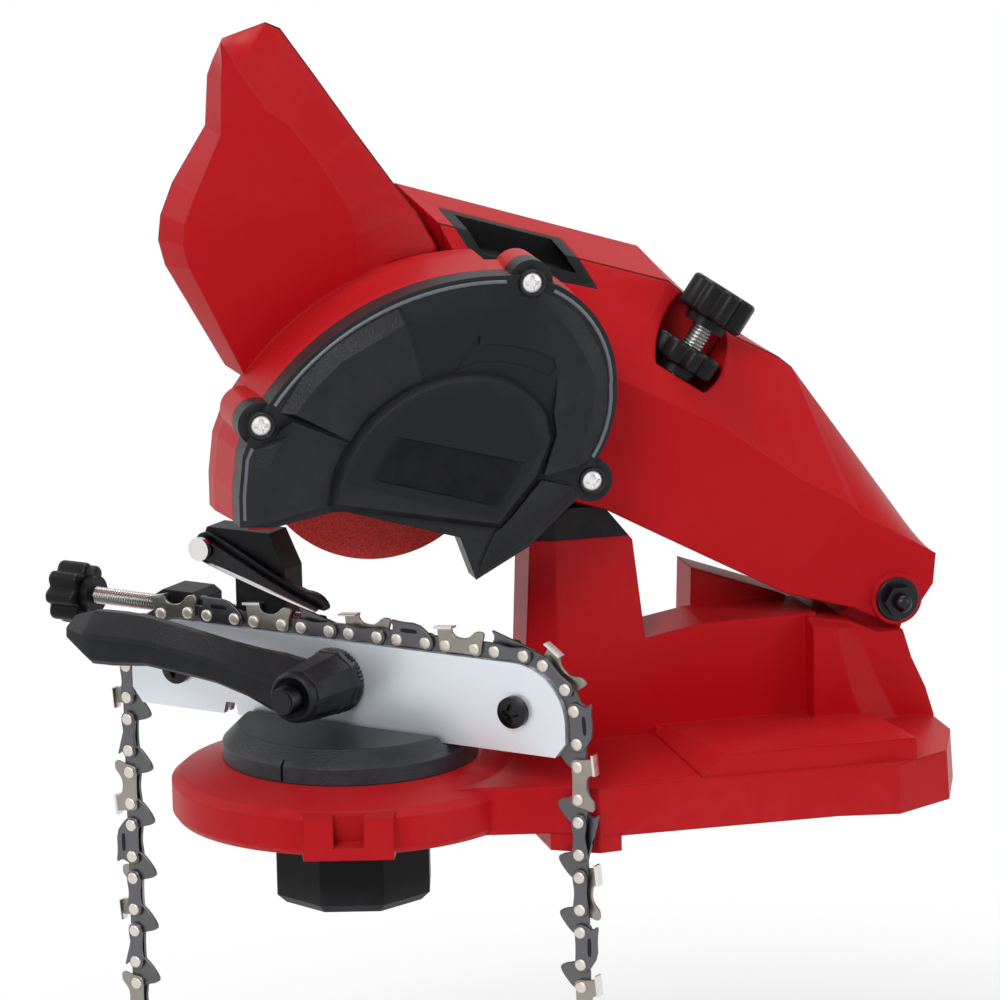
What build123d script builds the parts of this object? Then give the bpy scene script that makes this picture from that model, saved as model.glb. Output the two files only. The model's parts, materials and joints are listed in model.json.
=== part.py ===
from build123d import *
import math
import os

# Electric chainsaw sharpener: a bench base, a vise on a turntable that holds
# a saw chain, and a motor head with a grinding wheel that swings down on a
# rear pivot.  Millimetres, +Z up.  The origin is half-way between the two
# bench bolt holes, on the plane that rests on the bench.

os.makedirs("parts", exist_ok=True)

# ---------------------------------------------------------------- fits
running_clearance = 0.05      # radial, shafts and pins that turn or slide
seat_gap = 0.15               # between flat faces that slide on each other
swing_gap = 0.6               # round the pivot lug inside the head

# ---------------------------------------------------------------- base
bench_hole_spacing = 70.0
bench_hole_r = 4.25
vise_axis_x = -130.0          # turntable axis, from the bench bolts
vise_axis_y = -60.0
nose_r = 60.0                 # round nose that carries the turntable
nose_top_z = 20.0
front_rise = 0.8              # the nose and its skirt stay clear of the bench plane
nose_ring_r = 44.0
skirt_z = 17.0                # top of the low skirt
skirt_draft = 0.9
foot_front_x = 78.4           # face that meets the edge of the bench
lip_drop = 5.3                # how far the lip hangs below the bench top
foot_near_y = -59.5
spine_y = 26.0                # thickness of the upright spine
spine_z = 47.0                # its height at the pillar
pillar_x = 84.0
pillar_z = 99.0
pad_z = 88.0                  # where the black stop pad starts
pivot_x = 192.8
pivot_z = 59.2
pivot_bolt_r = 3.0
lug_r = 8.0
lug_near_y = 5.0
lug_far_y = 40.0

# ---------------------------------------------------------------- head
arm_near_y = -3.0
arm_far_y = 48.0
spindle_x = 11.0
spindle_z = 129.0
shaft_r = 4.0
wheel_r = 42.0
wheel_thickness = 3.2
wheel_bore_r = 11.1
flange_r = 15.0
guard_back_y = -17.0          # plane where guard and hood meet
guard_depth = 11.0
hood_flare = 1.8
tower_front_y = 9.0
motor_r = 18.0
motor_wall = 3.0
motor_near_y = 22.0
motor_far_y = 74.0

# ---------------------------------------------------------------- depth stop
rod_r = 4.0
rod_y = 13.0
rod_top_x = 135.5
rod_top_z = 164.0
rod_length = 84.0
rod_lean = 34.5               # degrees from upright, top away from the wheel
star_knob_r = 12.5

# ---------------------------------------------------------------- vise
vise_turn = -45.0             # direction of the rail, seen from above
disc_r = 43.4
disc_height = 11.2
rail_half = 86.25
rail_bottom_z = 28.8
rail_top_z = 59.5
rail_end_r = 19.8
plate_thickness = 2.5
rail_gap = 1.6                # between the plates, for the drive links
stop_y = 10.0                 # feed screw, behind the rail
feed_screw_z = 61.0
feed_screw_r = 3.0

# ---------------------------------------------------------------- chain
drive_link_count = 38
drive_link_span = 7.85        # between the two rivets of a drive link
strap_span = 11.2             # between the two rivets of a strap
drive_link_thickness = 1.3
strap_thickness = 1.25
strap_half = 2.6
rivet_r = 1.9


def side_plane(y):
    """Upright plane parallel to the wheel: x from the turntable axis, y up."""
    return Plane(origin=(vise_axis_x, vise_axis_y + y, 0),
                 x_dir=(1, 0, 0), z_dir=(0, -1, 0))


def level_plane(z):
    """Level plane at a height, with its origin on the turntable axis."""
    return Plane(origin=(vise_axis_x, vise_axis_y, z))


def cross_plane(x):
    """Upright plane across the base: x along +Y, y up, facing +X."""
    return Plane(origin=(vise_axis_x + x, vise_axis_y, 0),
                 x_dir=(0, 1, 0), z_dir=(1, 0, 0))


turn = math.radians(vise_turn)
rail_dir = (math.cos(turn), math.sin(turn), 0)
rail_out = (math.sin(turn), -math.cos(turn), 0)


def vise_plane(out):
    """Upright plane along the rail, 'out' mm in front of the rail's middle."""
    return Plane(origin=(vise_axis_x + rail_out[0] * out,
                         vise_axis_y + rail_out[1] * out, 0),
                 x_dir=rail_dir, z_dir=rail_out)


def vise_end_plane(along, out=0.0):
    """Plane square to the rail, facing its right end; x toward the front."""
    return Plane(origin=(vise_axis_x + rail_dir[0] * along + rail_out[0] * out,
                         vise_axis_y + rail_dir[1] * along + rail_out[1] * out, 0),
                 x_dir=(-rail_out[0], -rail_out[1], 0), z_dir=rail_dir)


def vise_level_plane(z):
    """Level plane turned with the rail: x along it, y away from the viewer."""
    return Plane(origin=(vise_axis_x, vise_axis_y, z), x_dir=rail_dir)


vise_axis = Axis((vise_axis_x, vise_axis_y, 0), (0, 0, 1))


# ================================================================ base
base_outline = [(0, -52), (32, -48), (57, -53.5), (70.5, -61.6), (78, -60.5),
                (154, -60.5), (174.5, -64.3), (196, -51.7), (206, -25),
                (206, 50), (194, 70), (174, 79), (154, 76), (84, 76),
                (62, 62), (34, 50), (0, 52)]
raised_wall_x = 107.0
raised_wall_z = 24.5
tower_front_x = 161.0
web_x = 128.0
notch_top_z = 15.0

with BuildPart() as base_housing:
    # nose, a cone up to the ring that the turntable rides on
    with BuildSketch(side_plane(0)):
        with BuildLine():
            Polyline((0, 0), (nose_r - 1, 0), (nose_r + 1, 2.8), (nose_r + 1, 13),
                     (nose_r - 2, 15.5), (nose_ring_r, nose_top_z),
                     (0, nose_top_z), (0, 0))
        make_face()
    revolve(axis=vise_axis)
    # skirt
    with BuildSketch(level_plane(0)):
        Polygon(*base_outline, align=None)
    with BuildSketch(level_plane(skirt_z)):
        Polygon(*base_outline, align=None)
        offset(amount=-skirt_draft, kind=Kind.INTERSECTION, mode=Mode.REPLACE)
    loft(ruled=True)
    # raised near wall with a sloping apron behind it
    with BuildSketch(cross_plane(raised_wall_x)):
        Polygon((foot_near_y, 0.5), (foot_near_y + 0.8, raised_wall_z),
                (1, nose_top_z), (1, 0.5), align=None)
    extrude(amount=182 - raised_wall_x)
    with BuildSketch(side_plane(foot_near_y - 3)):
        Polygon((raised_wall_x - 1, skirt_z), (raised_wall_x + 10, raised_wall_z + 1),
                (raised_wall_x - 1, raised_wall_z + 1), align=None)
    extrude(amount=foot_near_y - 2, mode=Mode.SUBTRACT)
    # the underside in front of the bench is a little higher than the foot
    with BuildSketch(level_plane(-1)):
        Polygon((-nose_r - 5, -90), (foot_front_x, -90), (foot_front_x, 90),
                (-nose_r - 5, 90), align=None)
    extrude(amount=1 + front_rise, mode=Mode.SUBTRACT)
    # lip over the edge of the bench
    with BuildSketch(level_plane(front_rise + 1)):
        Polygon((56, -52), (70.5, -61), (foot_front_x, -60), (foot_front_x, 75),
                (70.5, 67), (56, 58), align=None)
    extrude(amount=-lip_drop - front_rise - 1)
    # spine
    with BuildSketch(side_plane(0)):
        Polygon((50, 10), (60, 43), (74, spine_z), (102, spine_z + 4),
                (125, spine_z + 8), (165, spine_z + 8.5), (165, 10), align=None)
    extrude(amount=-spine_y)
    # stop pillar, with its two leading corners cut back
    with BuildSketch(side_plane(-1)) as pillar_side:
        Polygon((57, 10), (62, 30), (64.8, pillar_z - 11.5), (pillar_x - 6, pillar_z),
                (pillar_x + 6, pillar_z), (pillar_x + 16, pillar_z - 12.5),
                (104, 52), (105, 10), align=None)
    pillar_block = extrude(amount=-spine_y - 2, mode=Mode.PRIVATE)
    with BuildSketch(level_plane(5)):
        Polygon((50, 9), (73, 0), (110, 0), (110, spine_y), (73, spine_y),
                (50, 17), align=None)
    pillar_plan = extrude(amount=pillar_z, mode=Mode.PRIVATE)
    pillar = pillar_block & pillar_plan
    add(split(pillar, bisect_by=level_plane(pad_z), keep=Keep.BOTTOM, mode=Mode.PRIVATE))
    # web behind the window
    with BuildSketch(side_plane(spine_y)):
        Polygon((web_x - 2, 10), (web_x, 68.5), (161, 56.5), (170, 50), (170, 10),
                align=None)
    extrude(amount=-(44 - spine_y))
    # rear tower: saddle under the head's cheeks
    with BuildSketch(side_plane(-4)):
        Polygon((tower_front_x, 10), (tower_front_x, 55), (tower_front_x + 15, 52.5),
                (tower_front_x + 25, 48), (195, 48), (198, 38), (203, 27), (206, skirt_z),
                (206, 10), align=None)
    extrude(amount=-50)
    # near buttress of the tower
    with BuildSketch(side_plane(-4)):
        Polygon((tower_front_x, 10), (tower_front_x, 54), (tower_front_x + 16, 51),
                (tower_front_x + 20, 42), (tower_front_x + 25, 30), (tower_front_x + 35, 10),
                align=None)
    with BuildSketch(side_plane(-10)):
        Polygon((tower_front_x, 10), (tower_front_x, 53), (tower_front_x + 9, 52),
                (tower_front_x + 10.5, 42), (tower_front_x + 13.5, 30),
                (tower_front_x + 21, 10), align=None)
    loft(ruled=True)
    # lug that the head swings on
    with BuildSketch(side_plane(lug_near_y)):
        with Locations((pivot_x, pivot_z)):
            Circle(lug_r)
        Polygon((168, 46), (pivot_x - lug_r * 0.8, pivot_z + lug_r * 0.6),
                (pivot_x + lug_r, pivot_z), (pivot_x + lug_r - 4, 46), align=None)
    extrude(amount=-(lug_far_y - lug_near_y))
    with BuildSketch(side_plane(lug_near_y - 1)):
        with Locations((pivot_x, pivot_z)):
            Circle(pivot_bolt_r + running_clearance)
    extrude(amount=-(lug_far_y - lug_near_y + 2), mode=Mode.SUBTRACT)
    # notch block on the nose, with a slot open at the top
    notch_plane = Plane(origin=(vise_axis_x, vise_axis_y, front_rise),
                        x_dir=(math.cos(math.radians(-14)), math.sin(math.radians(-14)), 0))
    with BuildSketch(notch_plane):
        Polygon((-16, -50), (-15, -66), (15, -66), (16, -50), align=None)
    extrude(amount=notch_top_z - front_rise)
    with BuildSketch(notch_plane.offset(notch_top_z - 10 - front_rise)):
        with Locations((0, -66)):
            Rectangle(10, 12)
    extrude(amount=15, mode=Mode.SUBTRACT)
    # turntable bolt hole and bench bolt holes
    with Locations(level_plane(nose_top_z)):
        Hole(5 + running_clearance, depth=nose_top_z)
    with Locations(Plane.XY.offset(skirt_z)):
        with GridLocations(bench_hole_spacing, 1, 2, 1):
            Hole(bench_hole_r, depth=skirt_z)
    # pocket in the pillar for the end of the depth rod
    with BuildSketch(side_plane(rod_y - 7)):
        Polygon((pillar_x - 6, pillar_z - 22), (pillar_x + 22, pillar_z - 22),
                (pillar_x + 22, pillar_z + 2), (pillar_x - 6, pillar_z + 2), align=None)
    extrude(amount=-14, mode=Mode.SUBTRACT)

base_housing.part.label = "base_housing"
export_step(base_housing.part, "parts/base_housing.step")

with BuildPart() as stop_pad:
    add(split(pillar, bisect_by=level_plane(pad_z), keep=Keep.TOP, mode=Mode.PRIVATE))
    with BuildSketch(side_plane(rod_y - 7)):
        Polygon((pillar_x - 6, pillar_z - 22), (pillar_x + 22, pillar_z - 22),
                (pillar_x + 22, pillar_z + 2), (pillar_x - 6, pillar_z + 2), align=None)
    extrude(amount=-14, mode=Mode.SUBTRACT)
stop_pad.part.label = "stop_pad"
export_step(stop_pad.part, "parts/stop_pad.step")

boss_y = arm_near_y - 1.5
nut_near_y = boss_y - seat_gap
with BuildPart() as pivot_bolt:
    with BuildSketch(side_plane(nut_near_y - 6.5)):
        with Locations((pivot_x, pivot_z)):
            Circle(pivot_bolt_r)
    extrude(amount=-(arm_far_y + seat_gap - nut_near_y + 6.5))
    with BuildSketch(side_plane(arm_far_y + seat_gap)):
        with Locations((pivot_x, pivot_z)):
            RegularPolygon(pivot_bolt_r * 1.92, 6)
    extrude(amount=-4)
pivot_bolt.part.label = "pivot_bolt"
export_step(pivot_bolt.part, "parts/pivot_bolt.step")

with BuildPart() as pivot_nut:
    with BuildSketch(side_plane(nut_near_y)):
        with Locations((pivot_x, pivot_z)):
            RegularPolygon(pivot_bolt_r * 1.92, 6)
            Circle(pivot_bolt_r + 0.02, mode=Mode.SUBTRACT)
    extrude(amount=5)
pivot_nut.part.label = "pivot_nut"
export_step(pivot_nut.part, "parts/pivot_nut.step")


# ================================================================ head
shell_split_y = 22.0
# lower edge of the arm, from the pivot forward
arm_lower = [(201.5, 56.6), (188.8, 51.2), (178, 56.7), (152.9, 64),
             (103.5, 90.8), (89.5, 98.5)]
arm_near_face = [(60, 150), (96.6, 142.5), (132.3, 123.6), (160.5, 102.9),
                 (176.6, 94), (180.8, 89.4), (207.4, 73.9), (206.3, 63.3)]
arm_ridge = [(40, 196), (120.4, 170.7), (143.2, 150), (159.2, 141.5),
             (163.8, 137.6), (166.3, 133.9), (211.5, 69.4), (208, 62)]
arm_far_top = [(31, 206), (116.5, 178.5), (131, 163), (152, 145.5),
               (160, 139.5), (165, 134.5), (211.5, 69.4), (208, 62)]
# tower over the motor: front face, widest outline at the housing's joint, rear face;
# the same number of corners each, so that a flat or a bevel joins each pair
tower_front = [(-30.5, 150), (-48.5, 188.5), (-50.5, 196.5), (-49.7, 203.5), (-45.6, 213.5),
               (-36.5, 233), (-36, 250), (-35.5, 256), (-35.9, 264), (-29.6, 253.3),
               (-20.8, 240), (-13.1, 234.2), (-2.9, 220.7), (6.6, 204.8), (8.1, 196.3),
               (9.3, 179.1), (12, 160), (-18, 140)]
tower_middle = [(-35, 152.3), (-54.4, 187.9), (-56.5, 196.5), (-55.5, 204.9), (-51.1, 215.8),
                (-39.3, 234.4), (-38.1, 251.2), (-36.2, 256.1), (-32.6, 263.3), (-17.8, 267.8),
                (-12.8, 265.5), (-2, 249.8), (12, 229), (25.3, 209.9), (33, 200),
                (40, 188), (40, 160), (-18, 140)]
tower_rear = [(-27, 146), (-45, 184), (-47, 192), (-46, 200), (-42, 210),
              (-30.5, 229), (-29.5, 244), (-27.5, 249), (-24, 254), (-12, 257),
              (-8, 254.5), (2, 241), (14, 224), (24, 208), (31, 199),
              (38, 188), (38, 160), (-18, 142)]
guard_points_low = [(80.7, 121.6), (78.1, 112.1), (67.6, 103.7), (57, 93.8),
                    (38.2, 83.6), (33, 98.5), (-6.1, 110.4), (-11.2, 110.4),
                    (-29.9, 106.8), (-41.8, 107.7)]
hood_points_low = [(80.7, 121.6), (78, 108), (60, 101), (-20, 103), (-36, 104),
                   (-41.8, 107.7)]
guard_lugs = [(-33.6, 141.5), (59.6, 183.2), (79.0, 114.4)]
lug_face_r = 7.5
guard_screw_r = 2.0


def guard_face(low_points):
    """Outline shared by the guard and the rim of the hood behind it."""
    with BuildSketch() as face:
        with BuildLine():
            Polyline((-41.8, 107.7), (-41.8, 118.2), (-40.1, 131.7), (-37.5, 138.3))
            ThreePointArc((-37.5, 138.3), (-3.6, 173.1), (50.7, 186.3))
            ThreePointArc((50.7, 186.3), (75.9, 176.4), (88.1, 148.4))
            ThreePointArc((88.1, 148.4), (86.5, 134), (80.7, 121.6))
            Polyline(*low_points)
        make_face()
    return face.sketch


bearing_r = 9.5
pillar_gap = 1.4              # between the pillar and the hollow over it
pillar_room = [(50, 60), (54, 104), (68, 115), (92, 116), (106, 104), (112, 86), (112, 60)]
bearing_near_y = 10.0
tower_far_y = 56.0
rail_seat_depth = 12.0
battery_wall = 4.0
battery_seat = [(-38, 190), (-38, 212), (-24, 246), (-16, 250), (-10, 245), (2, 214),
                (2, 190)]
switch_length = 30.0
switch_width = 14.0
switch_depth = 14.0
switch_plane = Plane(origin=(vise_axis_x + 100, vise_axis_y + arm_far_y, 150),
                     x_dir=(-0.8, 0, 0.6), z_dir=(0, 1, 0))
spindle_plane = Plane(origin=(vise_axis_x + spindle_x, vise_axis_y, spindle_z),
                      x_dir=(1, 0, 0), z_dir=(0, 0, 1))
spindle_axis = Axis((vise_axis_x + spindle_x, vise_axis_y, spindle_z), (0, 1, 0))


def arm_envelope(from_y, to_y):
    """The arm without its openings, to trim the pieces that lie in them."""
    with BuildPart() as body:
        with BuildSketch(side_plane(arm_near_y)):
            Polygon(*arm_near_face, *arm_lower, (60, 108), align=None)
        with BuildSketch(side_plane(shell_split_y)):
            Polygon(*arm_ridge, *arm_lower, (60, 108), align=None)
        loft(ruled=True)
        with BuildSketch(side_plane(shell_split_y)):
            Polygon(*arm_ridge, *arm_lower, (60, 108), align=None)
        with BuildSketch(side_plane(arm_far_y)):
            Polygon(*arm_far_top, *arm_lower, (60, 108), align=None)
        loft(ruled=True)
    return body.part


grip_window = [(40, 204.5), (82, 193), (94, 170.5), (52, 182)]
grip_near_y = -4.0
grip_far_y = 36.0
rod_dir = (math.sin(math.radians(rod_lean)), math.cos(math.radians(rod_lean)))
rod_plane = Plane(origin=(vise_axis_x + rod_top_x, vise_axis_y + rod_y, rod_top_z),
                  x_dir=(0, 1, 0), z_dir=(rod_dir[0], 0, rod_dir[1]))
insert_r = 6.5
insert_depth = 29.0           # centre of the insert's outer face below the rod's top
insert_length = 14.0

with BuildPart() as head_housing_front:
    # arm: near face, bevelled back to the ridge
    with BuildSketch(side_plane(arm_near_y)):
        Polygon(*arm_near_face, *arm_lower, (60, 108), align=None)
    with BuildSketch(side_plane(shell_split_y)):
        Polygon(*arm_ridge, *arm_lower, (60, 108), align=None)
    loft(ruled=True)
    # tower: front face and side bevel
    with BuildSketch(side_plane(tower_front_y)):
        Polygon(*tower_front, align=None)
    with BuildSketch(side_plane(shell_split_y)):
        Polygon(*tower_middle, align=None)
    loft(ruled=True)
    # hood round the wheel, flared towards the motor
    with BuildSketch(side_plane(guard_back_y)):
        add(guard_face(hood_points_low))
    with BuildSketch(side_plane(4)):
        add(guard_face(hood_points_low))
        offset(amount=hood_flare, kind=Kind.INTERSECTION, mode=Mode.REPLACE)
    loft(ruled=True)
    with BuildSketch(side_plane(4)):
        add(guard_face(hood_points_low))
        offset(amount=hood_flare, kind=Kind.INTERSECTION, mode=Mode.REPLACE)
    extrude(amount=-(shell_split_y - 4) * 0.5)
    with BuildSketch(side_plane(4)):
        with Locations((spindle_x, spindle_z)):
            Circle(motor_r + motor_wall)
    extrude(amount=-(shell_split_y - 4))
    # lugs behind the guard's screws
    with BuildSketch(side_plane(guard_back_y)):
        with Locations(*guard_lugs):
            Circle(lug_face_r)
    extrude(amount=-20)
    # raised ring round the pivot
    with BuildSketch(side_plane(boss_y)):
        with Locations((pivot_x, pivot_z)):
            Circle(9)
    extrude(amount=boss_y - lug_near_y + swing_gap)
    # room for the wheel, open below
    with BuildSketch(side_plane(-6)):
        with Locations((spindle_x, spindle_z)):
            Circle(wheel_r + 3)
            with Locations((0, -40)):
                Rectangle(2 * (wheel_r + 3) * 0.8, 40)
    extrude(amount=-10, mode=Mode.SUBTRACT)
    with BuildSketch(side_plane(guard_back_y)):
        add(guard_face(hood_points_low))
        offset(amount=-3.5, kind=Kind.INTERSECTION, mode=Mode.REPLACE)
        with Locations((0, 103)):
            Rectangle(56, 20)
    extrude(amount=-11, mode=Mode.SUBTRACT)

    # slot for the pivot lug of the base
    with BuildSketch(side_plane(lug_near_y - swing_gap)):
        with Locations((pivot_x, pivot_z)):
            Circle(lug_r + swing_gap)
        Polygon((158, 40), (160, 68), (pivot_x - 4, pivot_z + lug_r),
                (pivot_x + lug_r + swing_gap, pivot_z), (pivot_x + lug_r + swing_gap, 40),
                align=None)
    extrude(amount=-30, mode=Mode.SUBTRACT)
    with BuildSketch(side_plane(boss_y - 1)):
        with Locations((pivot_x, pivot_z)):
            Circle(pivot_bolt_r + running_clearance)
    extrude(amount=-20, mode=Mode.SUBTRACT)
    # hollow that drops over the stop pillar
    with BuildSketch(side_plane(-pillar_gap)):
        Polygon(*pillar_room, align=None)
    extrude(amount=-(spine_y + 2 * pillar_gap), mode=Mode.SUBTRACT)
    # grip opening
    with BuildSketch(side_plane(grip_near_y)):
        Polygon(*grip_window, align=None)
    extrude(amount=-(grip_far_y - grip_near_y), mode=Mode.SUBTRACT)
    # bearing seat, shaft hole and motor pocket
    with BuildSketch(side_plane(3)):
        with Locations((spindle_x, spindle_z)):
            Circle(shaft_r + 1)
    extrude(amount=-20, mode=Mode.SUBTRACT)
    with BuildSketch(side_plane(3)):
        with Locations((spindle_x, spindle_z)):
            Circle(flange_r + 2)
    extrude(amount=-4.2, mode=Mode.SUBTRACT)
    with BuildSketch(side_plane(bearing_near_y)):
        with Locations((spindle_x, spindle_z)):
            Circle(bearing_r)
    extrude(amount=-20, mode=Mode.SUBTRACT)
    with BuildSketch(side_plane(motor_near_y - 3)):
        with Locations((spindle_x, spindle_z)):
            Circle(motor_r)
    extrude(amount=-20, mode=Mode.SUBTRACT)
    # seat of the threaded insert and hole for the depth rod
    with BuildSketch(rod_plane.offset(20)):
        Circle(rod_r + running_clearance)
    extrude(amount=-140, mode=Mode.SUBTRACT)
    with BuildSketch(rod_plane.offset(-insert_depth + 30)):
        Circle(insert_r)
    extrude(amount=-insert_length - 30, mode=Mode.SUBTRACT)
    # flat under the lock knob
    with BuildSketch(rod_plane.offset(-insert_depth)):
        Circle(star_knob_r + 1.2)
    extrude(amount=40, mode=Mode.SUBTRACT)
    # holes for the guard's screws
    with BuildSketch(side_plane(guard_back_y - 1)):
        with Locations(*guard_lugs):
            Circle(guard_screw_r)
    extrude(amount=-15, mode=Mode.SUBTRACT)
    # the shell ends at the joint between the two halves
    split(bisect_by=side_plane(shell_split_y), keep=Keep.TOP)
head_housing_front.part.label = "head_housing_front"
export_step(head_housing_front.part, "parts/head_housing_front.step")

with BuildPart() as head_housing_rear:
    with BuildSketch(side_plane(shell_split_y)):
        Polygon(*arm_ridge, *arm_lower, (60, 108), align=None)
    with BuildSketch(side_plane(arm_far_y)):
        Polygon(*arm_far_top, *arm_lower, (60, 108), align=None)
    loft(ruled=True)
    with BuildSketch(side_plane(shell_split_y)):
        Polygon(*tower_middle, align=None)
    with BuildSketch(side_plane(tower_far_y)):
        Polygon(*tower_rear, align=None)
    loft(ruled=True)
    with BuildSketch(side_plane(shell_split_y)):
        with Locations((spindle_x, spindle_z)):
            Circle(motor_r + motor_wall)
        Polygon((-18, 140), (-9, 128), (60, 108), (60, 150), (40, 165), align=None)
    extrude(amount=-(motor_far_y + 6 - shell_split_y))
    with BuildSketch(side_plane(shell_split_y - 1)):
        with Locations((pivot_x, pivot_z)):
            Circle(lug_r + swing_gap)
        Polygon((158, 40), (160, 68), (pivot_x - 4, pivot_z + lug_r),
                (pivot_x + lug_r + swing_gap, pivot_z), (pivot_x + lug_r + swing_gap, 40),
                align=None)
    extrude(amount=-(lug_far_y + swing_gap - shell_split_y + 1), mode=Mode.SUBTRACT)
    with BuildSketch(side_plane(shell_split_y - 1)):
        with Locations((pivot_x, pivot_z)):
            Circle(pivot_bolt_r + running_clearance)
    extrude(amount=-40, mode=Mode.SUBTRACT)
    # hollow that drops over the stop pillar
    with BuildSketch(side_plane(-pillar_gap)):
        Polygon(*pillar_room, align=None)
    extrude(amount=-(spine_y + 2 * pillar_gap), mode=Mode.SUBTRACT)
    with BuildSketch(side_plane(grip_near_y)):
        Polygon(*grip_window, align=None)
    extrude(amount=-(grip_far_y - grip_near_y), mode=Mode.SUBTRACT)
    with BuildSketch(side_plane(motor_near_y - 3)):
        with Locations((spindle_x, spindle_z)):
            Circle(motor_r)
    extrude(amount=-(motor_far_y - motor_near_y + 3), mode=Mode.SUBTRACT)
    with BuildSketch(rod_plane.offset(20)):
        Circle(rod_r + running_clearance)
    extrude(amount=-140, mode=Mode.SUBTRACT)
    with BuildSketch(rod_plane.offset(-insert_depth)):
        Circle(star_knob_r + 1.2)
    extrude(amount=40, mode=Mode.SUBTRACT)
    # cooling slots in the end of the motor room
    with BuildSketch(side_plane(motor_far_y - 1)):
        with Locations((spindle_x, spindle_z)):
            with PolarLocations(11, 6, start_angle=30):
                SlotOverall(10, 3)
    extrude(amount=-10, mode=Mode.SUBTRACT)
    # seat of the battery rails
    with BuildSketch(side_plane(tower_far_y - rail_seat_depth)):
        Polygon(*battery_seat, align=None)
    extrude(amount=-20, mode=Mode.SUBTRACT)
    # opening for the rocker switch
    with BuildSketch(switch_plane):
        Rectangle(switch_length, switch_width)
    extrude(amount=-switch_depth, mode=Mode.SUBTRACT)
head_housing_rear.part.label = "head_housing_rear"
export_step(head_housing_rear.part, "parts/head_housing_rear.step")

with BuildPart() as wheel_guard:
    with BuildSketch(side_plane(guard_back_y)):
        add(guard_face(guard_points_low))
    extrude(amount=guard_depth)
    with BuildSketch(side_plane(guard_back_y)):
        with Locations(*guard_lugs):
            Circle(lug_face_r)
    extrude(amount=guard_depth - 2)
    # raised D over the hub
    with BuildSketch(side_plane(guard_back_y - guard_depth)):
        with BuildLine():
            Polyline((63.8, 139), (65.3, 130.4), (59.9, 117.1), (45.8, 101.1),
                     (-11, 112.3), (-10.2, 119))
            ThreePointArc((-10.2, 119), (10.9, 147.3), (40, 154))
            ThreePointArc((40, 154), (54, 150), (63.8, 139))
        make_face()
    extrude(amount=4)
    # hollow behind the front wall
    with BuildSketch(side_plane(guard_back_y)):
        with BuildLine():
            Polyline((-38, 114), (-37, 130), (-33.5, 137.5))
            ThreePointArc((-33.5, 137.5), (-1, 169.6), (50.7, 182))
            ThreePointArc((50.7, 182), (73, 172.5), (83.5, 148.4))
            Polyline((83.5, 148.4), (76, 121), (38, 106), (-6, 114), (-30, 110.5),
                     (-38, 114))
        make_face()
    extrude(amount=guard_depth - 3.5, mode=Mode.SUBTRACT)
    with BuildSketch(side_plane(guard_back_y)):
        with Locations(*guard_lugs):
            Circle(lug_face_r)
    extrude(amount=guard_depth - 2)
    with BuildSketch(side_plane(guard_back_y + 1)):
        with Locations(*guard_lugs):
            Circle(guard_screw_r)
    extrude(amount=20, mode=Mode.SUBTRACT)
    with BuildSketch(side_plane(guard_back_y - guard_depth + 2)):
        with Locations(*guard_lugs):
            Circle(4.6)
    extrude(amount=20, mode=Mode.SUBTRACT)
    # bare seat for a label on the D, and the arrow that shows the way of turning
    with BuildSketch(side_plane(guard_back_y - guard_depth - 3.6)):
        Polygon((1.8, 121.5), (10.7, 135.5), (54.9, 123.3), (46, 108.6), align=None)
    extrude(amount=2, mode=Mode.SUBTRACT)
    with BuildSketch(side_plane(guard_back_y - guard_depth + 0.6)):
        with BuildLine():
            Polyline((32.5, 155.1), (41.4, 167), (41, 163.5))
            ThreePointArc((41, 163.5), (54, 162), (68.5, 156))
            Polyline((68.5, 156), (65.1, 151))
            ThreePointArc((65.1, 151), (53, 156), (40.5, 157.5))
            Polyline((40.5, 157.5), (32.5, 155.1))
        make_face()
    extrude(amount=2, mode=Mode.SUBTRACT)
wheel_guard.part.label = "wheel_guard"
export_step(wheel_guard.part, "parts/wheel_guard.step")

with BuildPart() as guard_screws:
    with BuildSketch(side_plane(guard_back_y - guard_depth + 2)):
        with Locations(*guard_lugs):
            Circle(4.2)
    extrude(amount=2.4)
    with BuildSketch(side_plane(guard_back_y - guard_depth + 2)):
        with Locations(*guard_lugs):
            Circle(guard_screw_r - 0.02)
    extrude(amount=-18)
guard_screws.part.label = "guard_screws"
export_step(guard_screws.part, "parts/guard_screws.step")

with BuildPart() as grip_liner:
    with BuildSketch(side_plane(grip_far_y)):
        Polygon(*grip_window, align=None)
    extrude(amount=3)
    with BuildSketch(side_plane(grip_far_y - 3)):
        Polygon(*grip_window, align=None)
        offset(amount=-3.5, kind=Kind.INTERSECTION, mode=Mode.SUBTRACT)
    extrude(amount=25)
    add(arm_envelope(grip_near_y, grip_far_y), mode=Mode.INTERSECT)
grip_liner.part.label = "grip_liner"
export_step(grip_liner.part, "parts/grip_liner.step")


def turned(profile, name):
    """Piece turned about the spindle: profile of (radius, depth) corners."""
    with BuildPart() as piece:
        with BuildSketch(spindle_plane):
            Polygon(*profile, align=None)
        revolve(axis=spindle_axis)
    piece.part.label = name
    return piece


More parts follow.
